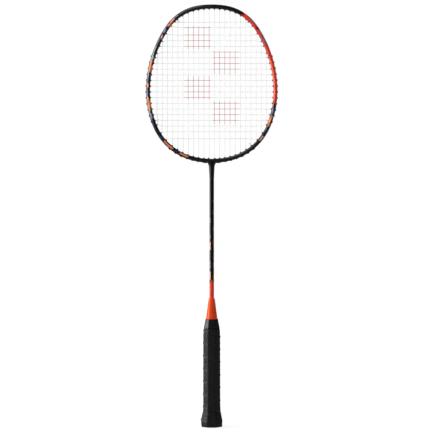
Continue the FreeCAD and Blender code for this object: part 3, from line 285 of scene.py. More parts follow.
def lacquer_surface():
    """Orange peel, fine dust and soft polish marks of a sprayed lacquer."""
    def wire(w, given):
        cloud = w.noise(given["Vector"], 60.0, 4.0)
        long_grain = w.vector("MULTIPLY", given["Vector"], (900.0, 900.0, 120.0))
        streaks = w.noise(long_grain, 1.0, 2.0)
        peel = w.noise(given["Vector"], 900.0, 2.0)
        return w.vary(cloud, 0.93, 1.07), w.vary(streaks, -0.05, 0.06), peel

    return surface_group("Lacquer Surface", wire)


def moulded_surface():
    """Spark-eroded texture of a small moulded plastic part."""
    def wire(w, given):
        pits = w.cells(given["Vector"], given["Scale"])
        haze = w.noise(given["Vector"], 240.0, 4.0)
        height = w.math("ADD", pits, w.math("MULTIPLY", haze, 0.5))
        return w.vary(haze, 0.85, 1.15), w.vary(haze, -0.08, 0.08), height

    return surface_group("Moulded Surface", wire, ("Scale", "f"))


def leather_surface():
    """Grain of coated grip leather: small cells, creases and polished high spots."""
    def wire(w, given):
        bent = w.wander(given["Vector"], 90.0, 0.0006)
        grain = w.cells(bent, given["Scale"], "DISTANCE_TO_EDGE")
        raised = w.span(grain, 0.0, 0.22)
        worn = w.noise(given["Vector"], 45.0, 4.0, 0.6)
        shade = w.math("MULTIPLY", w.span(raised, 0.0, 1.0, 0.7, 1.08), w.vary(worn, 0.85, 1.2))
        height = w.math("ADD", raised, w.math("MULTIPLY", worn, 0.6))
        return shade, w.vary(worn, -0.07, 0.09), height

    return surface_group("Leather Surface", wire, ("Scale", "f"))


class Finish(Wiring):
    """One material: a Principled shader and the nodes that feed it."""

    def __init__(self, name):
        self.material = bpy.data.materials.new(name)
        self.material.use_nodes = True
        super().__init__(self.material.node_tree)
        self.tree.nodes.clear()
        self.shader = self.node("ShaderNodeBsdfPrincipled")
        self.feed(self.node("ShaderNodeOutputMaterial").inputs["Surface"], self.shader.outputs[0])
        place = self.node("ShaderNodeTexCoord")
        self.place = place.outputs["Object"]
        self.uv = place.outputs["UV"]

    def group(self, tree, **values):
        """A node group, fed with these values."""
        made = self.node("ShaderNodeGroup", node_tree=tree)
        self.fill(made, **values)
        return made.outputs

    def shaded(self, tint, shade):
        """The colour times a value that wanders about 1."""
        grey = self.node("ShaderNodeCombineColor")
        for socket in grey.inputs[:3]:
            self.feed(socket, shade)
        return self.mix(1.0, tint, grey.outputs[0], "MULTIPLY")

    def bump(self, height, depth):
        """Normals that dip and rise with a height, depth in metres."""
        made = self.node("ShaderNodeBump")
        self.fill(made, Height=height, Distance=depth, Strength=1.0)
        return made.outputs[0]

    def surface(self, **values):
        """Feeds the shader and gives the material."""
        self.fill(self.shader, **values)
        return self.material


def dress(material, *names):
    """Gives a material to every slot of these nodes."""
    for name in names:
        mesh = NODES[name].data
        if not mesh.materials:
            mesh.materials.append(material)
        for slot in NODES[name].material_slots:
            slot.material = material


# ---------------------------------------------------------------- lacquered parts


# Dashes of paint along the rim: (start, end, colour) in degrees from the crown, one row for each
# lane of the face, from the outer edge inwards
RIGHT_LANES = (
    ((22, 28, "orange"), (28, 33, "slate"), (33, 37, "orange"), (38, 43, "slate"),
     (44, 48, "orange"), (48, 53, "navy"), (53, 103, "orange"),
     (108, 114, "navy"), (126, 131, "navy")),
    ((23, 34, "orange"), (34, 37, "navy"), (37, 45, "orange"), (45, 49, "slate"),
     (49, 57, "orange"), (57, 59, "navy"), (59, 101, "orange"), (105, 110, "slate"),
     (112, 122, "amber"), (124, 127, "navy"), (131, 136, "peach")),
    ((20, 40, "orange"), (40, 43, "slate"), (43, 98, "orange"), (101, 104, "orange"),
     (115, 118, "amber")),
)
# On the left side, which faces the soft box, the silver dashes of the outer lane are partly painted
# sheen.
LEFT_LANES = (
    ((24, 31, "slate"), (33, 40, "silver_and_sheen"), (52, 66, "silver_and_sheen"), (69, 81, "silver_and_sheen"),
     (84, 98, "slate"), (103, 116, "silver_and_sheen"), (140, 146, "navy")),
    ((27, 34, "amber"), (36, 39, "slate"), (41, 44, "peach"), (59, 62, "silver_and_sheen"), (63, 73, "amber"),
     (75, 79, "navy"), (83, 87, "amber"), (89, 93, "navy"), (95, 107, "amber"),
     (110, 115, "slate"), (131, 134, "navy"), (136, 146, "amber"), (148, 151, "navy"),
     (152, 160, "amber")),
    ((30, 32, "peach"), (66, 71, "amber"), (90, 92, "navy"), (98, 104, "amber")),
)
CROWN_TO_FOOT = 180
# Where the lanes meet, from 0 on the ridge to 1 at the channel's lip and -1 on the inner side
OUTER_LANE, INNER_LANE = 0.4, -0.3
LANE_SWAY = 1.1
# Beyond this lane the left side stays black.
LIP_LANE = 0.62
LIP_FROM_MIDDLE = 0.0028


def dash_plan(start, reach, dashes):
    """Ramp stops for dashes on black over a range that begins at start and is reach long."""
    stops = [(0.0, colour("black"))]
    for low, high, name in dashes:
        low, high = (low - start) / reach, (high - start) / reach
        if abs(stops[-1][0] - low) < 1e-6:
            stops.pop()
        stops += [(low, colour(name)), (high, colour("black"))]
    return stops


def frame_paint():
    """Black frame lacquer with an orange side and ragged dashes that follow the rim."""
    w, given, out = node_group(
        "Frame Paint",
        [("Vector", "v"), ("Normal", "v"), ("Centre", "f"), ("Ridge", "f"), ("Slope", "f"),
         ("Slant", "f"), ("Ragged", "f")],
        [("Colour", "c")])
    x, y, z = w.split(given["Vector"])[:3]
    up = w.math("SUBTRACT", z, given["Centre"])
    nx, _, nz = w.split(given["Normal"])[:3]
    facing = w.math("SIGN", w.math("ADD", w.math("MULTIPLY", nx, x), w.math("MULTIPLY", nz, up)))
    below_ridge = w.math("SUBTRACT", given["Ridge"], w.math("ABSOLUTE", y))
    lane = w.math("MULTIPLY", facing, w.math("DIVIDE", below_ridge, given["Slope"]))
    ragged = w.sway(given["Vector"], 700.0, 2.0, given["Ragged"])
    turned = w.math("DIVIDE", w.math("ARCTAN2", w.math("ABSOLUTE", x), up), math.pi)
    along = w.math("ADD", w.math("ADD", turned, ragged), w.math("MULTIPLY", lane, given["Slant"]))
    wavy = w.math("ADD", lane, w.sway(given["Vector"], 90.0, 1.0, LANE_SWAY))
    outer = w.math("GREATER_THAN", wavy, OUTER_LANE)
    inner = w.math("LESS_THAN", wavy, INNER_LANE)
    sides = []
    for lanes in (LEFT_LANES, RIGHT_LANES):
        far, middle, near = (
            w.bands(along, dash_plan(0, CROWN_TO_FOOT, dashes)) for dashes in lanes)
        sides.append(w.mix(inner, w.mix(outer, middle, far), near))
    left, right = sides
    left = w.mix(w.math("GREATER_THAN", lane, LIP_LANE), left, colour("black"))
    w.feed(out["Colour"], w.mix(w.math("GREATER_THAN", x, 0.0), left, right))
    return w.tree


def lacquer(name, paint_colour, roughness, **constants):
    """Coated lacquer; paint_colour gives its colour, constants change single inputs."""
    finish = Finish(name)
    skin = finish.group(lacquer_surface(), Vector=finish.place, Roughness=roughness)
    return finish.surface(**{
        "Base_Color": finish.shaded(paint_colour(finish), skin["Shade"]),
        "Roughness": skin["Roughness"], "Normal": finish.bump(skin["Height"], 0.00002),
        "Specular_IOR_Level": 0.35, "Coat_Weight": 0.22, "Coat_Roughness": 0.12, **constants})


class RACKET_OT_paint_head(bpy.types.Operator):
    """Paints the head frame and the joint inside its neck"""

    bl_idname = "racket.paint_head"
    bl_label = "Paint Head"

    def execute(self, context):
        half_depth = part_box("head_frame")[1].y

        def paint_of(finish):
            normal = finish.node("ShaderNodeNewGeometry").outputs["Normal"]
            return finish.group(
                frame_paint(), Vector=finish.place, Normal=normal, Centre=sizes().head_centre,
                Ridge=half_depth, Slope=half_depth - LIP_FROM_MIDDLE, Slant=0.006,
                Ragged=0.012)["Colour"]

        dress(lacquer("Frame Lacquer", paint_of, 0.3), "head_frame")
        dress(lacquer("Joint Composite", lambda finish: colour("black"), 0.5), "t_joint")
        return {"FINISHED"}


# Flecks up the shaft: (low, high, colour) in millimetres above the butt
SHAFT_RIGHT = (
    (240, 246, "rust"), (258, 266, "rust"), (272, 275, "rust"), (293, 303, "rust"),
    (316, 322, "rust"), (343, 350, "rust"), (362, 366, "rust"),
)
# The slate fleck from 256 to 268 mm sits on the shaft's lit left edge and is partly painted sheen.
SHAFT_LEFT = (
    (239, 252, "peach"), (256, 268, "slate"), (287, 299, "peach"), (304, 312, "slate"),
    (330, 338, "slate"),
)
SHAFT_START, SHAFT_REACH = 230, 170
# How steeply the ends of the paint fall away from the middle of the shaft
FLECK_LEAN, FOOT_LEAN = 1.4, 2.0
# Distance off the middle at which the flecks begin, and how much of their raggedness it takes
FLECK_EDGE, EDGE_SWAY = 0.0019, 0.4


def shaft_paint():
    """Black shaft with a pointed orange foot and small flecks along both edges."""
    w, given, out = node_group(
        "Shaft Paint", [("Vector", "v"), ("Foot", "f"), ("Fleck Edge", "f"), ("Ragged", "f")],
        [("Colour", "c")])
    x, _, z = w.split(given["Vector"])[:3]
    off = w.math("ABSOLUTE", x)
    ragged = w.sway(given["Vector"], 600.0, 2.0, given["Ragged"])
    lean = w.math("ADD", z, w.math("ADD", ragged, w.math("MULTIPLY", off, FLECK_LEAN)))
    along = w.span(lean, SHAFT_START * MM, (SHAFT_START + SHAFT_REACH) * MM)
    left, right = (
        w.bands(along, dash_plan(SHAFT_START, SHAFT_REACH, flecks))
        for flecks in (SHAFT_LEFT, SHAFT_RIGHT))
    flecked = w.mix(w.math("GREATER_THAN", x, 0.0), left, right)
    wavy = w.math("ADD", off, w.math("MULTIPLY", ragged, EDGE_SWAY))
    edge = w.math("GREATER_THAN", wavy, given["Fleck Edge"])
    ground = w.mix(edge, colour("black"), flecked)
    peak = w.math("ADD", z, w.math("MULTIPLY", off, FOOT_LEAN))
    w.feed(out["Colour"], w.mix(w.math("LESS_THAN", peak, given["Foot"]), ground, colour("orange")))
    return w.tree


class RACKET_OT_paint_shaft(bpy.types.Operator):
    """Paints the shaft and the cone that holds it in the handle"""

    bl_idname = "racket.paint_shaft"
    bl_label = "Paint Shaft and Cone"

    def execute(self, context):
        def paint_of(finish):
            return finish.group(
                shaft_paint(), Vector=finish.place, Foot=sizes().shaft_foot,
                Fleck_Edge=FLECK_EDGE, Ragged=0.003)["Colour"]

        dress(lacquer("Shaft Lacquer", paint_of, 0.25), "shaft")
        pearl = lacquer(
            "Cone Plastic", lambda finish: colour("orange"), 0.3, Specular_IOR_Level=0.65,
            Specular_Tint=(1.0, 0.72, 0.3, 1.0), Coat_Weight=0.0)
        dress(pearl, "cone_cap")
        return {"FINISHED"}


# ---------------------------------------------------------------- strings and grommets


BLOCK_COLUMNS, BLOCK_ROWS = 2.0, 4.0
# Half the part of a block's side that takes ink
BLOCK_FILL = 0.46


def block_pattern():
    """A stencil of staggered blocks, two columns wide and four rows high."""
    w, given, out = node_group(
        "String Stencil",
        [("Vector", "v"), ("Block Width", "f"), ("Block Height", "f"), ("Foot", "f")],
        [("Ink", "f")])
    x, _, z = w.split(given["Vector"])[:3]
    u = w.math("ADD", w.math("DIVIDE", x, given["Block Width"]), BLOCK_COLUMNS / 2)
    v = w.math("DIVIDE", w.math("SUBTRACT", z, given["Foot"]), given["Block Height"])
    inside = 1.0
    for value, top in ((u, BLOCK_COLUMNS), (v, BLOCK_ROWS)):
        begun, unended = w.math("GREATER_THAN", value, 0.0), w.math("LESS_THAN", value, top)
        inside = w.math("MULTIPLY", inside, w.math("MULTIPLY", begun, unended))
    steps = w.math("ADD", w.math("FLOOR", u), w.math("FLOOR", v))
    odd = w.math("FLOORED_MODULO", steps, 2.0)
    for value in (u, v):
        off_centre = w.math("ABSOLUTE", w.math("SUBTRACT", w.math("FRACT", value), 0.5))
        odd = w.math("MULTIPLY", odd, w.math("LESS_THAN", off_centre, BLOCK_FILL))
    w.feed(out["Ink"], w.math("MULTIPLY", inside, odd))
    return w.tree


class RACKET_OT_dress_strings(bpy.types.Operator):
    """Gives the strings their nylon and the inked block pattern"""

    bl_idname = "racket.dress_strings"
    bl_label = "Dress Strings"

    def execute(self, context):
        s = sizes()
        finish = Finish("String Nylon")
        ink = finish.group(block_pattern(), Vector=finish.place, Block_Width=s.motif_width,
                           Block_Height=s.motif_height, Foot=s.motif_foot)["Ink"]
        speckle = finish.span(finish.noise(finish.place, 2500.0, 2.0), 0.32, 0.5, 0.85, 1.0)
        cover = finish.math("MULTIPLY", ink, speckle)
        braid = finish.node("ShaderNodeTexWave", wave_type="BANDS", bands_direction="DIAGONAL")
        finish.fill(braid, Vector=finish.place, Scale=900.0, Distortion=0.6)
        tint = finish.mix(cover, colour("string"), colour("ink"))
        nylon = finish.surface(
            Base_Color=finish.shaded(tint, finish.span(braid.outputs["Fac"], 0.0, 1.0, 0.92, 1.03)),
            Roughness=finish.span(cover, 0.0, 1.0, 0.32, 0.55),
            Normal=finish.bump(braid.outputs["Fac"], 0.00002),
            Specular_IOR_Level=0.5, Coat_Weight=0.2, Coat_Roughness=0.2)
        dress(nylon, "main_string", "cross_string")
        return {"FINISHED"}


class RACKET_OT_dress_grommets(bpy.types.Operator):
    """Gives the grommets and the throat strips their moulded nylon"""

    bl_idname = "racket.dress_grommets"
    bl_label = "Dress Grommets"

    def execute(self, context):
        finish = Finish("Grommet Nylon")
        skin = finish.group(moulded_surface(), Vector=finish.place, Scale=2600.0, Roughness=0.45)
        material = finish.surface(
            Base_Color=finish.shaded(colour("nylon"), skin["Shade"]), Roughness=skin["Roughness"],
            Normal=finish.bump(skin["Height"], 0.00002), Specular_IOR_Level=0.4)
        moulded = [name for name in NODES if name.startswith(("grommets_", "throat_strip_"))]
        dress(material, *moulded)
        return {"FINISHED"}


# ---------------------------------------------------------------- grip


# Height, width and depth of the grip
GRIP_STATIONS = np.array((
    (0.9, 31.4, 28.2), (4.0, 33.6, 30.2), (10.0, 34.0, 30.6), (16.5, 31.6, 28.4),
    (22.5, 28.6, 25.6), (30.0, 27.0, 24.0), (148.0, 27.0, 24.0), (158.0, 25.4, 23.2),
    (171.5, 20.2, 20.0),
)) * MM
# Steps in height about a point over which the stations are averaged, to ease their corners
EASING = np.linspace(-1.0, 1.0, 9) * 0.0022
# A bevel's leg as a part of the half width, and how hard the eight edges are
BEVEL = 0.27
CORNER_POWER = 26.0
# The tape swells between its edges and stretches unevenly.
BELLY = 0.00009
STRETCH = 0.00005
# Folds at the heel: (height, how far they stand out), and half their width
HEEL_FOLDS = ((0.0198, 0.0004), (0.0128, 0.0003))
FOLD_WIDTH = 0.0022
# How deep the tape goes under the band, and over what height
UNDER_BAND = 0.0012
UNDER_BAND_RISE = 0.0015
# Mesh steps in one turn and across the tape
TAPE_AROUND, TAPE_ACROSS = 120, 36
# Length of tape in one turn, as its UVs have it
UV_GIRTH = 0.085
# Distance from the tape's lower edge to its embossed line, as a part of the pitch
CREASE_LINE = 0.06
# Points closer than this are joined, and edges sharper than this stay sharp.
WELD = 1e-7
SHARP_EDGE = math.radians(40)


def half_sizes(height):
    """Half width and half depth of the grip at these heights, eased between the stations."""
    near = height[..., None] + EASING
    width = np.interp(near, GRIP_STATIONS[:, 0], GRIP_STATIONS[:, 1]).mean(-1)
    depth = np.interp(near, GRIP_STATIONS[:, 0], GRIP_STATIONS[:, 2]).mean(-1)
    return width / 2, depth / 2


def grip_point(angle, height, lift):
    """Points on the grip's eight-sided section; angle 0 faces the front and grows to the right."""
    across, deep = half_sizes(height)
    east, south = np.sin(angle), -np.cos(angle)
    flat_x = np.abs(east) / across
    flat_y = np.abs(south) / deep
    flat_corner = (np.abs(east) + np.abs(south)) / (across + deep - 2 * BEVEL * across)
    nearness = sum(flat ** CORNER_POWER for flat in (flat_x, flat_y, flat_corner))
    reach = nearness ** (-1 / CORNER_POWER) + lift
    return np.stack([east * reach, south * reach, height], -1)


def rise(value):
    """Smooth step from 0 to 1."""
    value = np.clip(value, 0.0, 1.0)
    return value * value * (3 - 2 * value)


def mesh_object(name, points, faces, uvs):
    """An object from points, faces and a UV for each point."""
    mesh = bpy.data.meshes.new(name)
    mesh.from_pydata(points.tolist(), [], faces.tolist())
    corners = np.zeros(len(mesh.loops), np.int32)
    mesh.loops.foreach_get("vertex_index", corners)
    mesh.uv_layers.new(name="UVMap").uv.foreach_set("vector", uvs[corners].ravel())
    made = bpy.data.objects.new(name, mesh)
    bpy.context.scene.collection.objects.link(made)
    return made


def cut_and_close(made, low, high, wall):
    """Trims a tube at two heights, gives it an inner wall and shades it smooth."""
    shape = bmesh.new()
    shape.from_mesh(made.data)
    bmesh.ops.remove_doubles(shape, verts=shape.verts, dist=WELD)
    for height, side in ((low, -1), (high, 1)):
        bmesh.ops.bisect_plane(
            shape, geom=[*shape.verts, *shape.edges, *shape.faces], dist=WELD,
            plane_co=(0, 0, height), plane_no=(0, 0, side), clear_outer=True)
    rims = [edge for edge in shape.edges if edge.is_boundary]
    pushed = bmesh.ops.extrude_edge_only(shape, edges=rims)["geom"]
    for vertex in (item for item in pushed if isinstance(item, bmesh.types.BMVert)):
        flat = Vector((vertex.co.x, vertex.co.y, 0.0))
        vertex.co -= flat.normalized() * wall
    inner = [item for item in pushed if isinstance(item, bmesh.types.BMEdge) and item.is_boundary]
    bmesh.ops.bridge_loops(shape, edges=inner)
    bmesh.ops.recalc_face_normals(shape, faces=shape.faces)
    for face in shape.faces:
        face.smooth = True
    shape.to_mesh(made.data)
    shape.free()
    made.data.set_sharp_from_angle(angle=SHARP_EDGE)
    return made


def tape_grid(low, high):
    """Points, faces and UVs of a helix of tape, each turn lapped over the turn below."""
    s = sizes()
    turns = math.ceil((high - low) / s.tape_pitch) + 2
    first = s.tape_start - s.tape_pitch * math.ceil((s.tape_start - low) / s.tape_pitch + 1)
    step = np.arange(turns * TAPE_AROUND + 1)[:, None]
    turn, part = np.broadcast_arrays(
        step / TAPE_AROUND, np.linspace(0.0, 1.0, TAPE_ACROSS + 1)[None, :])
    height = first + s.tape_pitch * (turn + part)
    angle = -turn * FULL_TURN
    lip = s.tape_lip * (1 - rise(part / s.tape_lap))
    belly = BELLY * np.sin(np.pi * part) ** 0.7
    stretch = STRETCH * (np.sin(5 * angle + height * 700) + np.sin(3 * angle - height * 1100))
    folds = sum(out * np.exp(-((height - at) / FOLD_WIDTH) ** 2) for at, out in HEEL_FOLDS)
    past_band = (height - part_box("finishing_tape")[0].z) / UNDER_BAND_RISE
    tucked = UNDER_BAND * rise(past_band + 1.0)
    points = grip_point(angle, height, lip + belly + stretch + folds - tucked)
    columns = TAPE_ACROSS + 1
    corner = (step[:-1] * columns + np.arange(TAPE_ACROSS)[None, :]).ravel()
    walls = np.stack([corner, corner + 1, corner + columns + 1, corner + columns], -1)
    edge = step[: (turns - 1) * TAPE_AROUND].ravel() * columns
    above = edge + TAPE_AROUND * columns
    lips = np.stack([edge + TAPE_ACROSS, above, above + columns, edge + columns + TAPE_ACROSS], -1)
    uvs = np.stack([turn * UV_GIRTH, s.tape_pitch * part], -1)
    return points.reshape(-1, 3), np.concatenate([walls, lips]), uvs.reshape(-1, 2)


def grip_leather():
    """Coated leather with an embossed line near the tape's lower edge, which is painted pale:
    partly rubbed wear, partly a painted highlight along each seam.
    """
    s = sizes()
    finish = Finish("Grip Leather")
    skin = finish.group(leather_surface(), Vector=finish.place, Scale=2300.0, Roughness=0.45)
    part = finish.math("DIVIDE", finish.split(finish.uv)["Y"], s.tape_pitch)
    line = finish.math("ABSOLUTE", finish.math("SUBTRACT", part, CREASE_LINE))
    crease = finish.span(line, 0.0, 0.02)
    # Three times lighter at the tape's lower edge: partly rubbed wear, partly painted highlight of
    # each seam.
    rubbed_and_highlight = finish.span(part, 0.0, 0.1, 3.0, 1.0)
    gloss = finish.span(part, 0.0, 0.16, -0.13, 0.0)
    height = finish.math("ADD", skin["Height"], finish.math("MULTIPLY", crease, 2.0))
    return finish.surface(
        Base_Color=finish.shaded(colour("leather"), finish.math("MULTIPLY", skin["Shade"], rubbed_and_highlight)),
        Roughness=finish.math("ADD", skin["Roughness"], gloss), Normal=finish.bump(height, 0.00005),
        Specular_IOR_Level=0.42)


class RACKET_OT_wrap_grip(bpy.types.Operator):
    """Winds the grip tape round the handle"""

    bl_idname = "racket.wrap_grip"
    bl_label = "Wrap Grip"

    def execute(self, context):
        low, high = (corner.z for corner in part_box("grip_tape"))
        tape = cut_and_close(
            mesh_object("wound_grip_tape", *tape_grid(low, high)), low, high, sizes().tape_wall)
        tape.data.materials.append(grip_leather())
        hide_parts("grip_tape")
        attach(tape, "root")
        return {"FINISHED"}


HOLE_INPUTS = {
    "Rows": "hole_rows", "Spacing": "hole_spacing", "Radius": "hole_radius",
    "Pitch": "tape_pitch", "Start": "tape_start",
}
# A hole is a low cone in painted shade, dark where the inside of a hole would be shaded: its
# height, its sides and how much wider its foot is than its top
HOLE_DEPTH, HOLE_SIDES, HOLE_SPREAD = 0.00015, 10, 1.15
# The middle of the rows and the distance between them, as parts of the pitch
LANE_MIDDLE, LANE_GAP = 0.55, 0.22
# Well outside the grip, where the search for its surface starts
BEYOND_GRIP = 0.03


def hole_helix(w, given):
    """How many air holes there are, and the height and the angle of each."""
    turns = w.math("DIVIDE", w.math("SUBTRACT", given["High"], given["Low"]), given["Pitch"])
    reach = w.math("MULTIPLY", turns, given["Girth"])
    steps = w.math("FLOOR", w.math("DIVIDE", reach, given["Spacing"]))
    index = w.node("GeometryNodeInputIndex").outputs[0]
    row = w.math("FLOORED_MODULO", index, given["Rows"])
    step = w.math("FLOOR", w.math("DIVIDE", index, given["Rows"]))
    turn = w.math("DIVIDE", w.math("MULTIPLY", step, given["Spacing"]), given["Girth"])
    lane = w.math("ADD", w.math("MULTIPLY", w.math("SUBTRACT", row, 0.5), LANE_GAP), LANE_MIDDLE)
    start = w.math("SUBTRACT", given["Start"], given["Low"])
    first = w.math("FLOORED_MODULO", start, given["Pitch"])
    climb = w.math("MULTIPLY", w.math("ADD", turn, lane), given["Pitch"])
    height = w.math("ADD", w.math("ADD", given["Low"], first), climb)
    return w.math("MULTIPLY", steps, given["Rows"]), height, w.math("MULTIPLY", turn, -FULL_TURN)


def meet_tape(w, geometry, height, angle):
    """Outputs of a ray that goes level and straight in from outside the grip to its surface."""
    east, south = w.math("SINE", angle), w.math("MULTIPLY", w.math("COSINE", angle), -1.0)
    place, inward = w.node("ShaderNodeCombineXYZ"), w.node("ShaderNodeCombineXYZ")
    w.fill(place, X=w.math("MULTIPLY", east, BEYOND_GRIP),
           Y=w.math("MULTIPLY", south, BEYOND_GRIP), Z=height)
    w.fill(inward, X=w.math("MULTIPLY", east, -1.0), Y=w.math("MULTIPLY", south, -1.0), Z=0.0)
    ray = w.node("GeometryNodeRaycast")
    w.fill(ray, Target_Geometry=geometry, Source_Position=place.outputs[0],
           Ray_Direction=inward.outputs[0], Ray_Length=BEYOND_GRIP)
    return ray.outputs


def air_hole_nodes(material):
    """Geometry nodes that lay rows of small dark cones along the wound tape, painted shade that
    stands for air holes.
    """
    tree = bpy.data.node_groups.new("Air Holes", "GeometryNodeTree")
    tree.interface.new_socket("Geometry", in_out="INPUT", socket_type="NodeSocketGeometry")
    for label in (*HOLE_INPUTS, "Low", "High", "Girth"):
        kind = "NodeSocketInt" if label == "Rows" else "NodeSocketFloat"
        tree.interface.new_socket(label, in_out="INPUT", socket_type=kind)
    tree.interface.new_socket("Geometry", in_out="OUTPUT", socket_type="NodeSocketGeometry")
    w = Wiring(tree)
    given = w.node("NodeGroupInput").outputs
    holes, height, angle = hole_helix(w, given)
    ray = meet_tape(w, given["Geometry"], height, angle)
    points = w.node("GeometryNodePoints")
    w.fill(points, Count=holes, Position=ray["Hit Position"])
    below_top = w.math("LESS_THAN", height, w.math("SUBTRACT", given["High"], given["Radius"]))
    facing = w.node("FunctionNodeAlignRotationToVector", axis="Z")
    w.fill(facing, Vector=ray["Hit Normal"])
    hole = w.node("GeometryNodeMeshCone", fill_type="NGON")
    w.fill(hole, Vertices=HOLE_SIDES, Depth=HOLE_DEPTH, Radius_Top=given["Radius"],
           Radius_Bottom=w.math("MULTIPLY", given["Radius"], HOLE_SPREAD))
    placed = w.node("GeometryNodeInstanceOnPoints")
    w.fill(placed, Points=points.outputs[0], Instance=hole.outputs["Mesh"],
           Selection=w.math("MULTIPLY", ray["Is Hit"], below_top), Rotation=facing.outputs[0])
    real = w.node("GeometryNodeRealizeInstances")
    w.fill(real, Geometry=placed.outputs[0])
    finished = w.node("GeometryNodeSetMaterial")
    w.fill(finished, Geometry=real.outputs[0], Material=material)
    w.feed(w.node("NodeGroupOutput").inputs[0], finished.outputs[0])
    return tree


def painted_hole_shade():
    """Dull and dark: painted shade for the inside of an air hole."""
    finish = Finish("Air Hole")
    dust = finish.noise(finish.place, 2000.0, 2.0)
    return finish.surface(
        Base_Color=finish.shaded(colour("nylon"), finish.vary(dust, 0.3, 0.6)),
        Roughness=finish.vary(dust, 0.8, 0.95), Specular_IOR_Level=0.1)


# Height of the flat middle of the grip, where its girth is taken
GRIP_MIDDLE = 0.08


def girth(height):
    """Distance round the grip at a height."""
    angle = np.linspace(0.0, FULL_TURN, 181)
    ring = grip_point(angle, np.full_like(angle, height), 0.0)
    return float(np.linalg.norm(np.diff(ring, axis=0), axis=1).sum())


class RACKET_OT_pierce_grip(bpy.types.Operator):
    """Sets rows of air holes along the wound tape"""

    bl_idname = "racket.pierce_grip"
    bl_label = "Pierce Grip"

    def execute(self, context):
        tape = bpy.data.objects["wound_grip_tape"]
        # The holes are dark cones whose colour is painted shade.
        tree = air_hole_nodes(painted_hole_shade())
        worker = bpy.data.objects.new("air_hole_worker", tape.data.copy())
        context.scene.collection.objects.link(worker)
        modifier = worker.modifiers.new("Air Holes", "NODES")
        modifier.node_group = tree
        values = {label: getattr(sizes(), name) for label, name in HOLE_INPUTS.items()}
        values.update({
            "Low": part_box("grip_tape")[0].z, "High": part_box("finishing_tape")[0].z,
            "Girth": girth(GRIP_MIDDLE)})
        for item in tree.interface.items_tree:
            if item.in_out == "INPUT" and item.name in values:
                modifier[item.identifier] = values[item.name]
        ready = worker.evaluated_get(context.evaluated_depsgraph_get())
        mesh = bpy.data.meshes.new_from_object(ready)
        bpy.data.objects.remove(worker)
        holes = bpy.data.objects.new("grip_air_holes", mesh)
        context.scene.collection.objects.link(holes)
        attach(holes, "root")
        return {"FINISHED"}


# Mesh steps round and up the band, and how far it stands out from the grip
BAND_AROUND, BAND_ROWS = 192, 40
BAND_LIFT = 0.0002
# Laps in a turn, how far they slant over the band's height, and the width of their step
BAND_LAPS, BAND_SLANT, BAND_STEP = 2, 0.35, 0.02
# The band stops this far inside the ends of its place.
BAND_END = 1e-5


def band_grid(low, high):
    """Points, faces and UVs of a band with slanting laps and crossed creases."""
    s = sizes()
    turn, share_up = np.broadcast_arrays(
        np.linspace(0.0, 1.0, BAND_AROUND, endpoint=False)[:, None],
        np.linspace(0.0, 1.0, BAND_ROWS)[None, :])
    angle = turn * FULL_TURN
    slant = np.mod(turn * BAND_LAPS + share_up * BAND_SLANT, 1.0)
    lap = s.band_wall * (1 - rise(slant / BAND_STEP))
    crease = s.band_crease * (
        np.sin(7 * angle + share_up * 9) * np.sin(share_up * 14 + 3 * angle) - 1)
    height = low + share_up * (high - low)
    points = grip_point(angle, height, lap + crease + BAND_LIFT)
    column = np.arange(BAND_AROUND)[:, None] * BAND_ROWS + np.arange(BAND_ROWS - 1)[None, :]
    after = np.roll(column, -1, axis=0)
    faces = np.stack([column, after, after + 1, column + 1], -1)
    uvs = np.stack([turn, share_up], -1)
    return points.reshape(-1, 3), faces.reshape(-1, 4), uvs.reshape(-1, 2)


class RACKET_OT_bind_grip(bpy.types.Operator):
    """Ties off the top of the grip with a band of tape"""

    bl_idname = "racket.bind_grip"
    bl_label = "Bind Grip Top"

    def execute(self, context):
        low, high = (corner.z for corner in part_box("finishing_tape"))
        band = cut_and_close(
            mesh_object("grip_top_band", *band_grid(low, high)),
            low + BAND_END, high - BAND_END, sizes().band_wall)
        finish = Finish("Band Vinyl")
        skin = finish.group(moulded_surface(), Vector=finish.place, Scale=1800.0, Roughness=0.3)
        band.data.materials.append(finish.surface(
            Base_Color=finish.shaded(colour("vinyl"), skin["Shade"]), Roughness=skin["Roughness"],
            Normal=finish.bump(skin["Height"], 0.00003), Specular_IOR_Level=0.6))
        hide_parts("finishing_tape")
        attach(band, "root")
        return {"FINISHED"}


def plastic(name, tint, roughness):
    """Moulded plastic for the parts of the handle."""
    finish = Finish(name)
    skin = finish.group(moulded_surface(), Vector=finish.place, Scale=1500.0, Roughness=roughness)
    return finish.surface(
        Base_Color=finish.shaded(tint, skin["Shade"]), Roughness=skin["Roughness"],
        Normal=finish.bump(skin["Height"], 0.00003), Specular_IOR_Level=0.4)


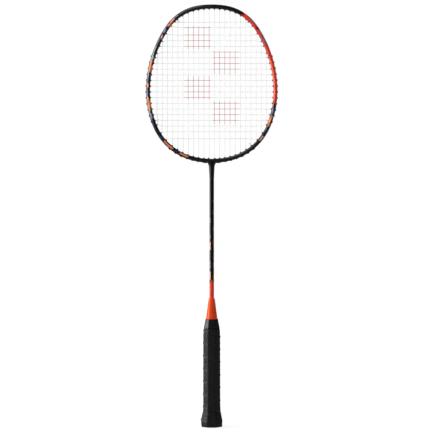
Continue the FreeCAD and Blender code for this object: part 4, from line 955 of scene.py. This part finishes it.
class RACKET_OT_dress_handle(bpy.types.Operator):
    """Finishes the wooden core, the butt cap, its disc and its staples"""

    bl_idname = "racket.dress_handle"
    bl_label = "Dress Handle"

    def execute(self, context):
        wood = Finish("Handle Wood")
        grain = wood.node("ShaderNodeTexWave", wave_type="RINGS", rings_direction="Y")
        wood.fill(grain, Vector=wood.vector("MULTIPLY", wood.place, (1.0, 1.0, 0.08)),
                  Scale=160.0, Distortion=6.0, Detail=3.0)
        ring = grain.outputs["Fac"]
        dress(wood.surface(
            Base_Color=wood.shaded(colour("wood"), wood.span(ring, 0.0, 1.0, 0.72, 1.05)),
            Roughness=wood.span(ring, 0.0, 1.0, 0.5, 0.65),
            Normal=wood.bump(ring, 0.00005)), "handle_core")
        dress(plastic("Cap Plastic", colour("nylon"), 0.45), "butt_cap")
        dress(plastic("Disc Plastic", colour("teal"), 0.35), "end_disc")
        steel = Finish("Staple Steel")
        drawn = steel.noise(
            steel.vector("MULTIPLY", steel.place, (9000.0, 9000.0, 300.0)), 1.0, 2.0)
        dress(steel.surface(
            Base_Color=steel.shaded(colour("steel"), steel.vary(drawn, 0.8, 1.1)),
            Roughness=steel.vary(drawn, 0.22, 0.4), Metallic=1.0), "cap_staples")
        return {"FINISHED"}


# ---------------------------------------------------------------- stage


# The camera looks level along Y, a little off the racket's axis.
VIEW_AXIS = 0.0052
VIEW_HEIGHT = 0.3388
VIEW_DISTANCE = 3.0
VIEW_LENS = 157.2
FLOOR_RADIUS, FLOOR_SIDES = 4.0, 96
RACKET_MIDDLE = 0.34
# Strength of the backdrop as a light, and as seen before the racket in reflections
BACKDROP_LIGHT, BACKDROP_DIM = 0.85, 0.03
# Name, place, width, height and watts of each soft box
LAMPS = (
    ("Left Soft Box", (-2.3, -0.4, 0.9), 1.4, 2.0, 48.0),
    ("Top Soft Box", (-0.8, -0.4, 2.2), 1.2, 1.2, 10.0),
)
WHITE = (1.0, 1.0, 1.0, 1.0)
FLOOR_GREY = (0.2, 0.2, 0.2, 1.0)


def aim(item, place, target):
    """Puts a lamp or a camera at a place and turns it to a target."""
    item.location = place
    item.rotation_euler = (Vector(target) - Vector(place)).to_track_quat("-Z", "Y").to_euler()


def soft_lamp(name, place, width, height, watts):
    """A rectangular soft box that faces the racket."""
    lamp = bpy.data.lights.new(name, "AREA")
    lamp.shape = "RECTANGLE"
    lamp.size, lamp.size_y, lamp.energy = width, height, watts
    made = bpy.data.objects.new(name, lamp)
    bpy.context.scene.collection.objects.link(made)
    aim(made, place, (0.0, 0.0, RACKET_MIDDLE))


def white_backdrop(world, light, dim):
    """White to the eye, white behind and dim before the racket in reflections, and a soft light."""
    world.use_nodes = True
    w = Wiring(world.node_tree)
    world.node_tree.nodes.clear()
    path = w.node("ShaderNodeLightPath").outputs
    side, forward, _ = w.split(w.node("ShaderNodeTexCoord").outputs["Generated"])[:3]
    mirrored = w.math("MAXIMUM", path["Is Glossy Ray"], path["Is Transmission Ray"])
    reflected = w.math("MULTIPLY", mirrored, w.span(forward, 0.4, 0.9, dim, 1.0))
    lit = w.math("MULTIPLY", w.math("SUBTRACT", 1.0, mirrored),
                 w.span(side, -0.8, 0.8, light * 1.25, light * 0.7))
    strength = w.math("MAXIMUM", path["Is Camera Ray"], w.math("ADD", lit, reflected))
    background = w.node("ShaderNodeBackground")
    w.fill(background, Color=WHITE, Strength=strength)
    w.feed(w.node("ShaderNodeOutputWorld").inputs["Surface"], background.outputs[0])


def studio_floor():
    """A round floor, white to the eye, that keeps the soft shadow of the racket."""
    bpy.ops.mesh.primitive_circle_add(
        vertices=FLOOR_SIDES, radius=FLOOR_RADIUS, fill_type="NGON")
    floor = bpy.context.object
    floor.name = "studio_floor"
    finish = Finish("Studio Floor")
    mist = finish.noise(finish.place, 3.0, 2.0)
    path = finish.node("ShaderNodeLightPath").outputs
    far = finish.span(finish.vector("LENGTH", finish.place), 0.3, 2.0, 0.8, 0.98)
    glow = finish.math("ADD", finish.math("MULTIPLY", path["Is Camera Ray"], far),
                       finish.math("MULTIPLY", path["Is Glossy Ray"], 0.05))
    floor.data.materials.append(finish.surface(
        Base_Color=finish.shaded(FLOOR_GREY, finish.span(mist, 0.0, 1.0, 0.99, 1.01)),
        Roughness=finish.span(mist, 0.0, 1.0, 0.85, 0.9), Specular_IOR_Level=0.0,
        Emission_Color=WHITE, Emission_Strength=glow))
    return floor


def front_camera():
    """A camera with a long lens before the racket."""
    eye = bpy.data.cameras.new("Camera")
    eye.lens, eye.sensor_width = VIEW_LENS, 36.0
    eye.clip_start, eye.clip_end = 0.01, 100.0
    camera = bpy.data.objects.new("Camera", eye)
    bpy.context.scene.collection.objects.link(camera)
    aim(camera, (VIEW_AXIS, -VIEW_DISTANCE, VIEW_HEIGHT), (VIEW_AXIS, 0.0, VIEW_HEIGHT))
    return camera


class RACKET_OT_set_stage(bpy.types.Operator):
    """Sets the floor, the soft lamps and the camera"""

    bl_idname = "racket.set_stage"
    bl_label = "Set Stage"

    def execute(self, context):
        scene = context.scene
        studio_floor()
        scene.world = scene.world or bpy.data.worlds.new("Studio")
        white_backdrop(scene.world, BACKDROP_LIGHT, BACKDROP_DIM)
        for lamp in LAMPS:
            soft_lamp(*lamp)
        scene.camera = front_camera()
        scene.view_settings.view_transform = "Standard"
        return {"FINISHED"}


class RACKET_PT_parts(bpy.types.Panel):
    """Lists the steps that dress the racket"""

    bl_idname = "RACKET_PT_parts"
    bl_label = "Badminton Racket"
    bl_space_type = "VIEW_3D"
    bl_region_type = "UI"
    bl_category = "Racket"

    def draw(self, context):
        for step in STEPS:
            self.layout.operator(step.bl_idname)
        for settings in (context.scene.racket_sizes, context.scene.racket_colours):
            for name in settings.__annotations__:
                self.layout.prop(settings, name)


STEPS = (
    RACKET_OT_set_stage, RACKET_OT_paint_head, RACKET_OT_paint_shaft, RACKET_OT_dress_strings,
    RACKET_OT_dress_grommets, RACKET_OT_wrap_grip, RACKET_OT_pierce_grip, RACKET_OT_bind_grip,
    RACKET_OT_dress_handle,
)
CLASSES = (RacketSizes, RacketColours, *STEPS, RACKET_PT_parts)


def register():
    for item in CLASSES:
        bpy.utils.register_class(item)
    bpy.types.Scene.racket_sizes = bpy.props.PointerProperty(type=RacketSizes)
    bpy.types.Scene.racket_colours = bpy.props.PointerProperty(type=RacketColours)


def unregister():
    del bpy.types.Scene.racket_colours
    del bpy.types.Scene.racket_sizes
    for item in reversed(CLASSES):
        bpy.utils.unregister_class(item)


def main():
    """Runs every step."""
    register()
    for step in STEPS:
        family, name = step.bl_idname.split(".")
        getattr(getattr(bpy.ops, family), name)()


if __name__ == "__main__":
    main()
